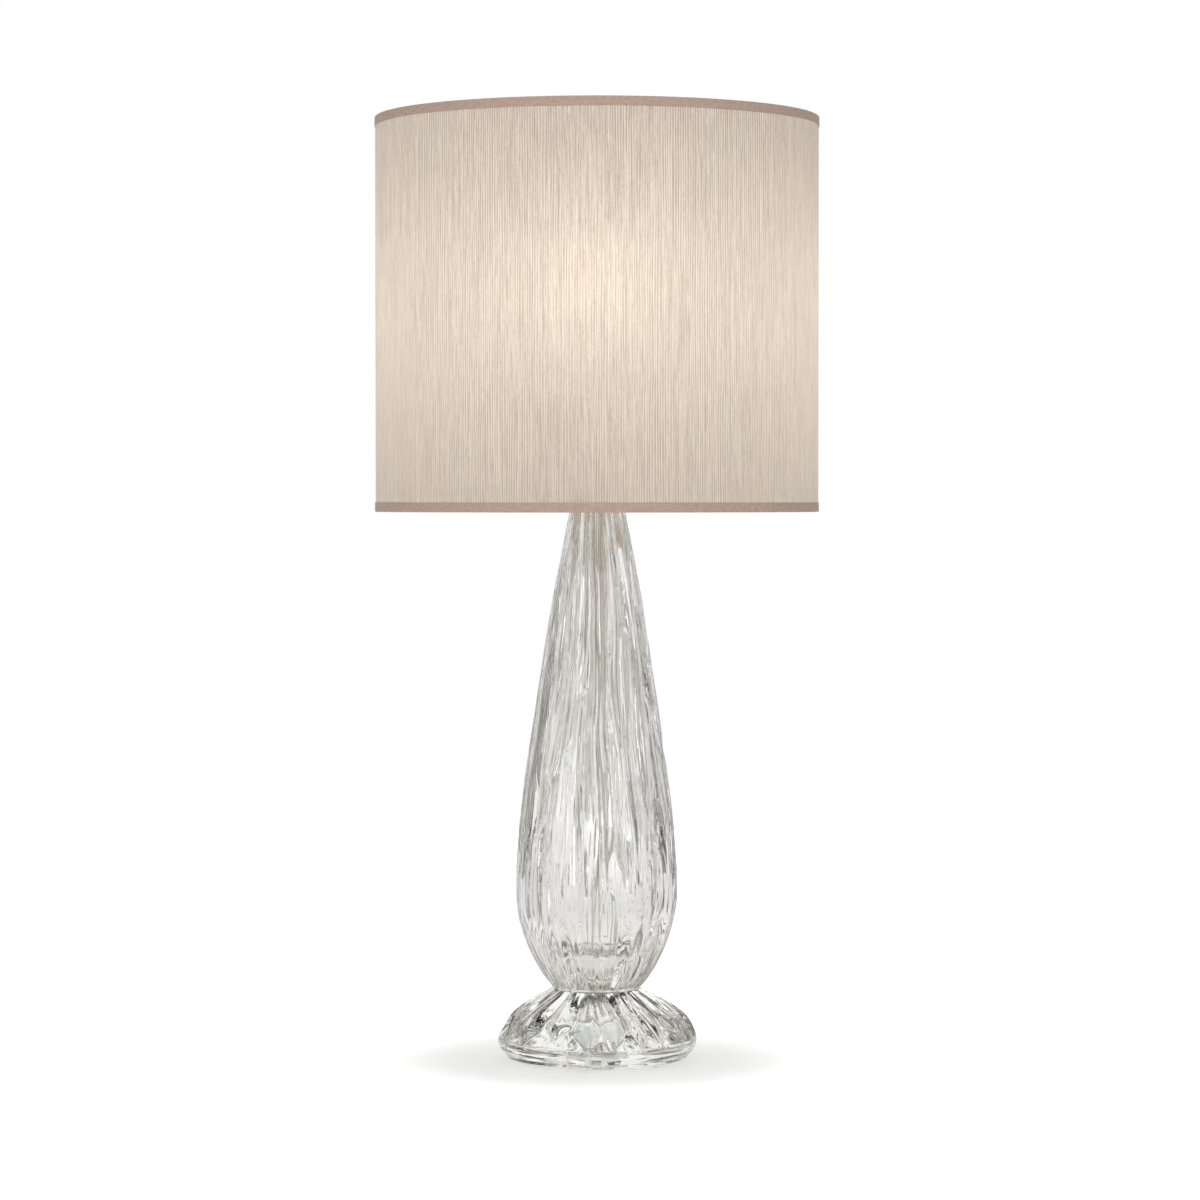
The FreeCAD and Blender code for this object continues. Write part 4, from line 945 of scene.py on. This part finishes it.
def make_stud():
    low, high, collar = span("harp_stud")
    seat, _, _ = span("spider_washer")
    neck, thread, pitch = 2.4, 3.1, 0.94
    corners = [
        (0, low), (4.5, low, 1), (4.5, low + 1.5, 0.4), (neck, low + 1.5), (neck, seat - 2.5),
        (collar, seat - 2.5, 0.5), (collar, seat, 0.5), (thread, seat),
        *rows(thread, seat + 0.3, high - 0.8, pitch / 6), (thread - 0.8, high), (0, high),
    ]
    cut_round("swivel_stud", "harp_stud", corners, 48, 0.2, Rate=TURN / pitch / MM, Depth=0.45 * MM)


make_harp()
make_ferrules()
make_stud()


# ---- lampholder and switch

CAP_PITCH = 3.629  # the thread of the bulb's cap


def make_lampholder():
    low, high, outer = span("lampholder_cap")
    hub, bore, wall = 8, 5.05, 0.8
    corners = [
        (bore, low), (hub, low), (hub, low + 7.5, 1.2), (outer - 1.5, low + 13, 3), (outer - 0.5, high - 4),
        (outer, high - 3.4, 0.5), (outer, high - 0.8, 0.5), (outer - 0.6, high), (outer - wall - 0.5, high),
        (outer - wall - 0.9, low + 14, 2), (bore, low + 9.8),
    ]
    turned("holder_cap", "lampholder_cap", corners, 0.4, 96)
    low, high, outer = span("lampholder_shell")
    bead, inner = 0.45, outer - 0.8
    corners = [
        (inner, low), (outer, low), (outer, low + 9.5), (outer + bead, low + 10.4, 0.5), (outer, low + 11.3),
        (outer, high - 12), (outer + bead, high - 11, 0.6), (outer, high - 10), (outer, high - 2.5),
        (outer + bead, high - 0.8, 0.5), (outer + 0.1, high), (inner, high),
    ]
    piece = lathe("holder_shell", rounded(corners, 0.25), 144, crease=50)
    _, knob_height = switch_line()
    hole = [(3 * cos(t), 3 * sin(t)) for t in np.arange(32) * TURN / 32]
    without(piece, prism("shaft_hole", hole, outer + 4, facing_front(knob_height)))
    fit(smoothed(piece, 40), "lampholder_shell")
    low, high, outer = span("screw_shell")
    inner, eye, sheet = outer - 0.5, 5.5, 0.5
    corners = [(eye, low), (outer - 1, low, 1), *rows(outer, low + 1, high - 0.6, CAP_PITCH / 12), (outer, high)]
    corners += [(inner, high), *rows(inner, high - 0.6, low + 1.4, CAP_PITCH / 12)]
    corners += [(inner - 1, low + sheet, 1), (eye, low + sheet)]
    cut_round("socket_screw", "screw_shell", corners, 72, 0.2, Rate=TURN / CAP_PITCH / MM, Depth=0.8 * MM)


def switch_line():
    """Where the switch knob starts in front of the axis, and how high its middle is, in millimetres."""
    low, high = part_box("switch_knob")
    return -high[1] / MM, (low[2] + high[2]) / 2 / MM


def make_knob():
    """The switch knob: a fluted grip with a domed end."""
    start, height = switch_line()
    radius, length = 7, 14
    shank, end = radius - 0.4, length - 0.5
    grip = [(radius, 3.6, 0.2, 1), (radius, length - 2.6, 0.6, 1)]
    corners = [(0, 0), (radius - 1.6, 0), (shank, 1.2), (shank, 2.6), *grip, (radius - 2.4, end, 1.5), (0, length)]
    look = {"Starts": 16, "Depth": 0.9 * MM, "Sharpness": 2.0}
    cut_round("fluted_knob", "switch_knob", corners, 192, 0.5, facing_front(height, start), **look)


make_lampholder()
make_knob()


# ---- bulb


def make_bulb():
    _, rim, _ = span("bulb_cap")
    _, top, widest = span("bulb_glass")
    middle, neck, glass = top - widest, 12.3, 0.8
    outside = [(neck, rim - 12), (neck, rim - 1), (12.9, rim + 2), (14.4, rim + 8)]
    outside += [(18.2, rim + 22), (23.6, rim + 36), (29.2, rim + 50), (32.6, middle - 9)]
    crown = [(widest * cos(t), middle + widest * sin(t)) for t in np.linspace(0, pi / 2, 9)]
    outer = flowing([*outside, *crown], 5)
    inner = [(max(across - glass, 0), up - glass * (up > middle), 0) for across, up, _ in outer[::-1]]
    inner[0] = (0, top - glass, 0)
    turned("bulb_envelope", "bulb_glass", [*outer, *inner], 0, 96)
    low, high, radius = span("bulb_cap")
    wall, sheet = radius - 0.4, 0.5
    corners = [(0, low), (radius - 4, low, 0.5), (radius - 1.2, low + 2.2, 1)]
    corners += [*rows(radius, low + 3.4, high - 4, CAP_PITCH / 12), (radius, high - 3), (radius - 0.1, high)]
    corners += [(wall - 0.1, high), (wall - 0.9, low + 4), (radius - 4.4, low + sheet), (0, low + sheet)]
    cut_round("bulb_screw", "bulb_cap", corners, 72, 0.2, Rate=TURN / CAP_PITCH / MM, Depth=0.85 * MM)
    low, high, radius = span("bulb_contact")
    corners = [(0, low), (radius - 2, low + 0.2, 1.5), (radius, high - 0.3, 0.8), (radius - 0.5, high), (0, high)]
    turned("bulb_solder", "bulb_contact", corners, 0.5, 40)
    low, high, radius = span("bulb_insulator")
    turned("bulb_bead", "bulb_insulator", [(0, low), (5.5, low, 0.3), (radius, high, 0.3), (0, high)])


make_bulb()


# ---- shade

SHADE_LOW, _, SHADE_OUT = span("shade_bottom_trim")
_, SHADE_HIGH, _ = span("shade_top_trim")
LAP, LAP_RISE = 9, 0.3  # how far the cloth laps over itself at its seam, and how much it rises there


def drum(name, outline):
    """A turned piece of the shade, with its seam at the back."""
    return lathe(name, outline, 480, start=pi / 2)


def make_cloth():
    """The cloth on its film, which runs once round and laps over itself at the back."""
    inner, outer = SHADE_OUT - 1, SHADE_OUT - 0.55
    levels = np.linspace(SHADE_LOW + 0.5, SHADE_HIGH - 0.5, 24)
    piece = drum("drum_cloth", [(outer, z, 1) for z in levels] + [(inner, z, 0) for z in levels[::-1]])
    mesh = piece.data
    around, skin = (np.array([a.value for a in mesh.attributes[label].data]) for label in ("around", "skin"))
    for point, angle, outside in zip(mesh.vertices, around - pi / 2, skin):
        if outside and angle < LAP / outer:
            point.co.x *= 1 + LAP_RISE / outer
            point.co.y *= 1 + LAP_RISE / outer
    coat(piece, "shade_cloth", "white_liner")
    facing = [0 if skin[face.vertices[0]] and skin[face.vertices[2]] else 1 for face in mesh.polygons]
    mesh.polygons.foreach_set("material_index", facing)
    fit(piece, "shade_cloth")


def make_trim(name, node, edge, up):
    """Tape folded over a rim: an outer leg, a round fold and a shorter inner leg. Up is 1 at the top rim."""
    outer, inner, thick, face, back, end = SHADE_OUT, SHADE_OUT - 5.2, 0.4, 8.5, 6, 0.15
    legs = [(outer, face, end), (outer, 0, 1.2), (inner, 0, 1.2), (inner, back, end), (inner + thick, back, end)]
    legs += [(inner + thick, thick, 0.9), (outer - thick, thick, 0.9), (outer - thick, face, end)]
    fit(drum(name, rounded([(radius, edge - up * down, room) for radius, down, room in legs])), node)


def make_shade_frame():
    """The liner, the two wire rings, and the washer and cranked arms that carry the shade."""
    low, high, outer = span("shade_liner")
    inner = outer - 0.5
    fit(drum("drum_liner", [(outer, low, 0), (outer, high, 0), (inner, high, 0), (inner, low, 0)]), "shade_liner")
    for name, node in (("top_wire", "shade_top_ring"), ("bottom_wire", "shade_bottom_ring")):
        low, high, outer = span(node)
        wire = (high - low) / 2
        turns = np.arange(16) * TURN / 16
        section = [(outer - wire + wire * cos(t), low + wire + wire * sin(t), 0) for t in turns]
        fit(drum(name, section), node)
    fit(softened("spider_hub", "spider_washer", 0.4), "spider_washer")
    low, high, washer = span("spider_washer")
    ring_low, ring_high, ring_out = span("shade_top_ring")
    start, end, level, ring = washer - 1.5, ring_out - 3.1, (low + high) / 2, (ring_low + ring_high) / 2
    stops = [(start, level, 0), (end - 20.4, level, 5), (end - 8.4, ring, 5), (end, ring, 0)]
    crank = [(x, z) for x, z, _ in rounded(stops, steps=8)]
    for number in range(3):
        arm = swept(f"crank_{number + 1}", crank, 1.5, 18)
        arm.data.transform(Matrix.Rotation(pi / 2 + number * TURN / 3, 4, "Z"))
        fit(arm, f"spider_arm_{number + 1}")


def make_finial():
    low, high, ball = span("finial")
    middle, foot, neck, room = high - ball, 7, 5.0, 4.45
    crown = [(ball * cos(t), middle + ball * sin(t), 0) for t in np.linspace(-0.93, pi / 2, 20)]
    corners = [
        (room, low), (foot, low), (foot, low + 1.6, 0.7), (neck + 0.4, low + 2.6, 0.5), (neck, low + 4.2, 0.8),
        (neck, middle - 8.6, 0.3), (neck + 1, middle - 8, 0.4), (neck + 1, middle - 7.2, 0.4), *crown[:-1], (0, high),
        (0, low + 10.5), (room, low + 10.5),
    ]
    turned("ball_finial", "finial", corners, 0.3, 96)


make_cloth()
make_trim("top_binding", "shade_top_trim", SHADE_HIGH, 1)
make_trim("bottom_binding", "shade_bottom_trim", SHADE_LOW, -1)
make_shade_frame()
make_finial()


# ---- stage


def make_world():
    """Soft light for the object, white for the camera, and for mirrors and glass a banded studio."""
    world = bpy.data.worlds.new("studio")
    bpy.context.scene.world = world
    world.use_nodes = True
    world.node_tree.nodes.clear()
    graph = Graph(world.node_tree)
    path = graph.add("ShaderNodeLightPath", out="Is Camera Ray")
    x, y, z = graph.add("ShaderNodeTexCoord", out="Generated").axes()
    angle = graph.maths("ARCTAN2", x, y)
    wide = ((angle * 5 + pi).cos() * 0.5 + 0.5) ** 4.0
    see_through_and_painted_glow = ((angle * 17 + 1.0).cos() * 0.5 + 0.5) ** 5.0
    side = (angle * 2 + 0.6).sin() * 0.5 + 0.5
    high = z.step(0.45, 0.8)
    low = (z * -1).step(0.15, 0.7)
    level = 0.95 * (1.0 - wide * 0.78) * (1.0 - see_through_and_painted_glow * 0.78) * (1 - high * 0.12) * (1 - low * 0.25)
    tone = graph.mix(side, (1.0, 0.985, 0.94), (0.97, 0.98, 0.98))
    tone = graph.mix((wide + see_through_and_painted_glow * 0.5).held(), tone, (1.0, 0.94, 0.82))
    soft = graph.add("ShaderNodeBackground", {"Color": (1, 0.995, 0.985), "Strength": 0.54})
    open_white = graph.add("ShaderNodeBackground", {"Color": (1, 1, 1), "Strength": 1.0})
    seen = graph.add("ShaderNodeBackground", {"Color": tone, "Strength": level})
    mirror = path.part("Is Glossy Ray").most(path.part("Is Transmission Ray"))
    whole = graph.between(path, graph.between(mirror, soft, seen), open_white)
    graph.add("ShaderNodeOutputWorld", {"Surface": whole})


def make_floor():
    """A pale disc that turns white for the camera away from the foot, and keeps the lamp's shadow. Its glow is weaker
    near the foot, which paints shade round it. For rays through the glass it glows near the foot, a painted light
    under the foot.
    """
    sides, reach = 96, 2.4
    rim = [(reach * cos(i * TURN / sides), reach * sin(i * TURN / sides), 0) for i in range(sides)]
    floor = new_piece("floor", new_mesh("floor", rim, [tuple(range(sides))]))
    paint = Paint("floor_white")
    path = paint.add("ShaderNodeLightPath", out="Is Camera Ray")
    x, y, _ = paint.here.axes()
    far = (x * x + y * y).root().step(0.11, 0.29)
    sheet = paint.surface((0.93, 0.94, 0.95), 0.9, gloss=0.0)
    # For the camera the glow grows away from the foot, leaving painted shade near it. For rays through the glass it is
    # a painted light near the foot.
    strength = path * (0.05 + far * 0.5) + path.part("Is Transmission Ray") * (1 - far) * 0.15
    lift = paint.add("ShaderNodeEmission", {"Color": (1, 1, 1), "Strength": strength})
    paint.done(paint.add("ShaderNodeAddShader", {0: sheet, 1: lift}))
    coat(floor, "floor_white")


def make_lamp(name, kind, place, aim, power, colour=(1, 1, 1), **settings):
    light = bpy.data.lights.new(name, kind)
    light.energy, light.color = power, colour
    for label, value in settings.items():
        setattr(light, label, value)
    lamp = new_piece(name, light)
    lamp.location = place
    lamp.rotation_euler = (Vector(aim) - Vector(place)).to_track_quat("-Z", "Y").to_euler()
    lamp.visible_camera = False
    lamp.visible_transmission = kind == "POINT"
    return lamp


def make_lights():
    """Four soft boxes aimed at the middle of the lamp, and the light of its own bulb."""
    for name, place, power, colour, wide, tall in (
        ("key_box", (-0.9, -2.7, 0.8), 25, (1, 0.985, 0.96), 0.7, 1.5),
        ("fill_box", (1.7, -2.0, 0.9), 8, (0.97, 0.985, 1), 0.35, 1.6),
        ("top_box", (0.1, 0.3, 2.6), 9, (1, 1, 1), 1.6, 1.6),
        ("back_box", (0.5, 2.6, 1.1), 18, (1, 1, 1), 0.6, 1.6),
    ):
        make_lamp(name, "AREA", place, (0, 0, 0.45), power, colour, shape="RECTANGLE", size=wide, size_y=tall)
    glow = make_lamp("bulb_light", "POINT", (0, 0, 0.6998), (0, 0, 0), 1.9, (1.0, 0.94, 0.86), shadow_soft_size=0.028)
    glow.rotation_euler = (0, 0, 0)
    glow.parent = bodies["bulb"]


def make_camera():
    camera = bpy.data.cameras.new("camera")
    camera.lens, camera.sensor_width = 115.29, 36
    camera.clip_start, camera.clip_end = 0.05, 100
    eye = new_piece("camera", camera)
    eye.location = (0.0027, -3.470, 0.5074)
    eye.rotation_euler = (radians(90 - 1.52), 0, 0)
    bpy.context.scene.camera = eye


make_world()
make_floor()
make_lights()
make_camera()
bpy.context.scene.view_settings.view_transform = "Standard"
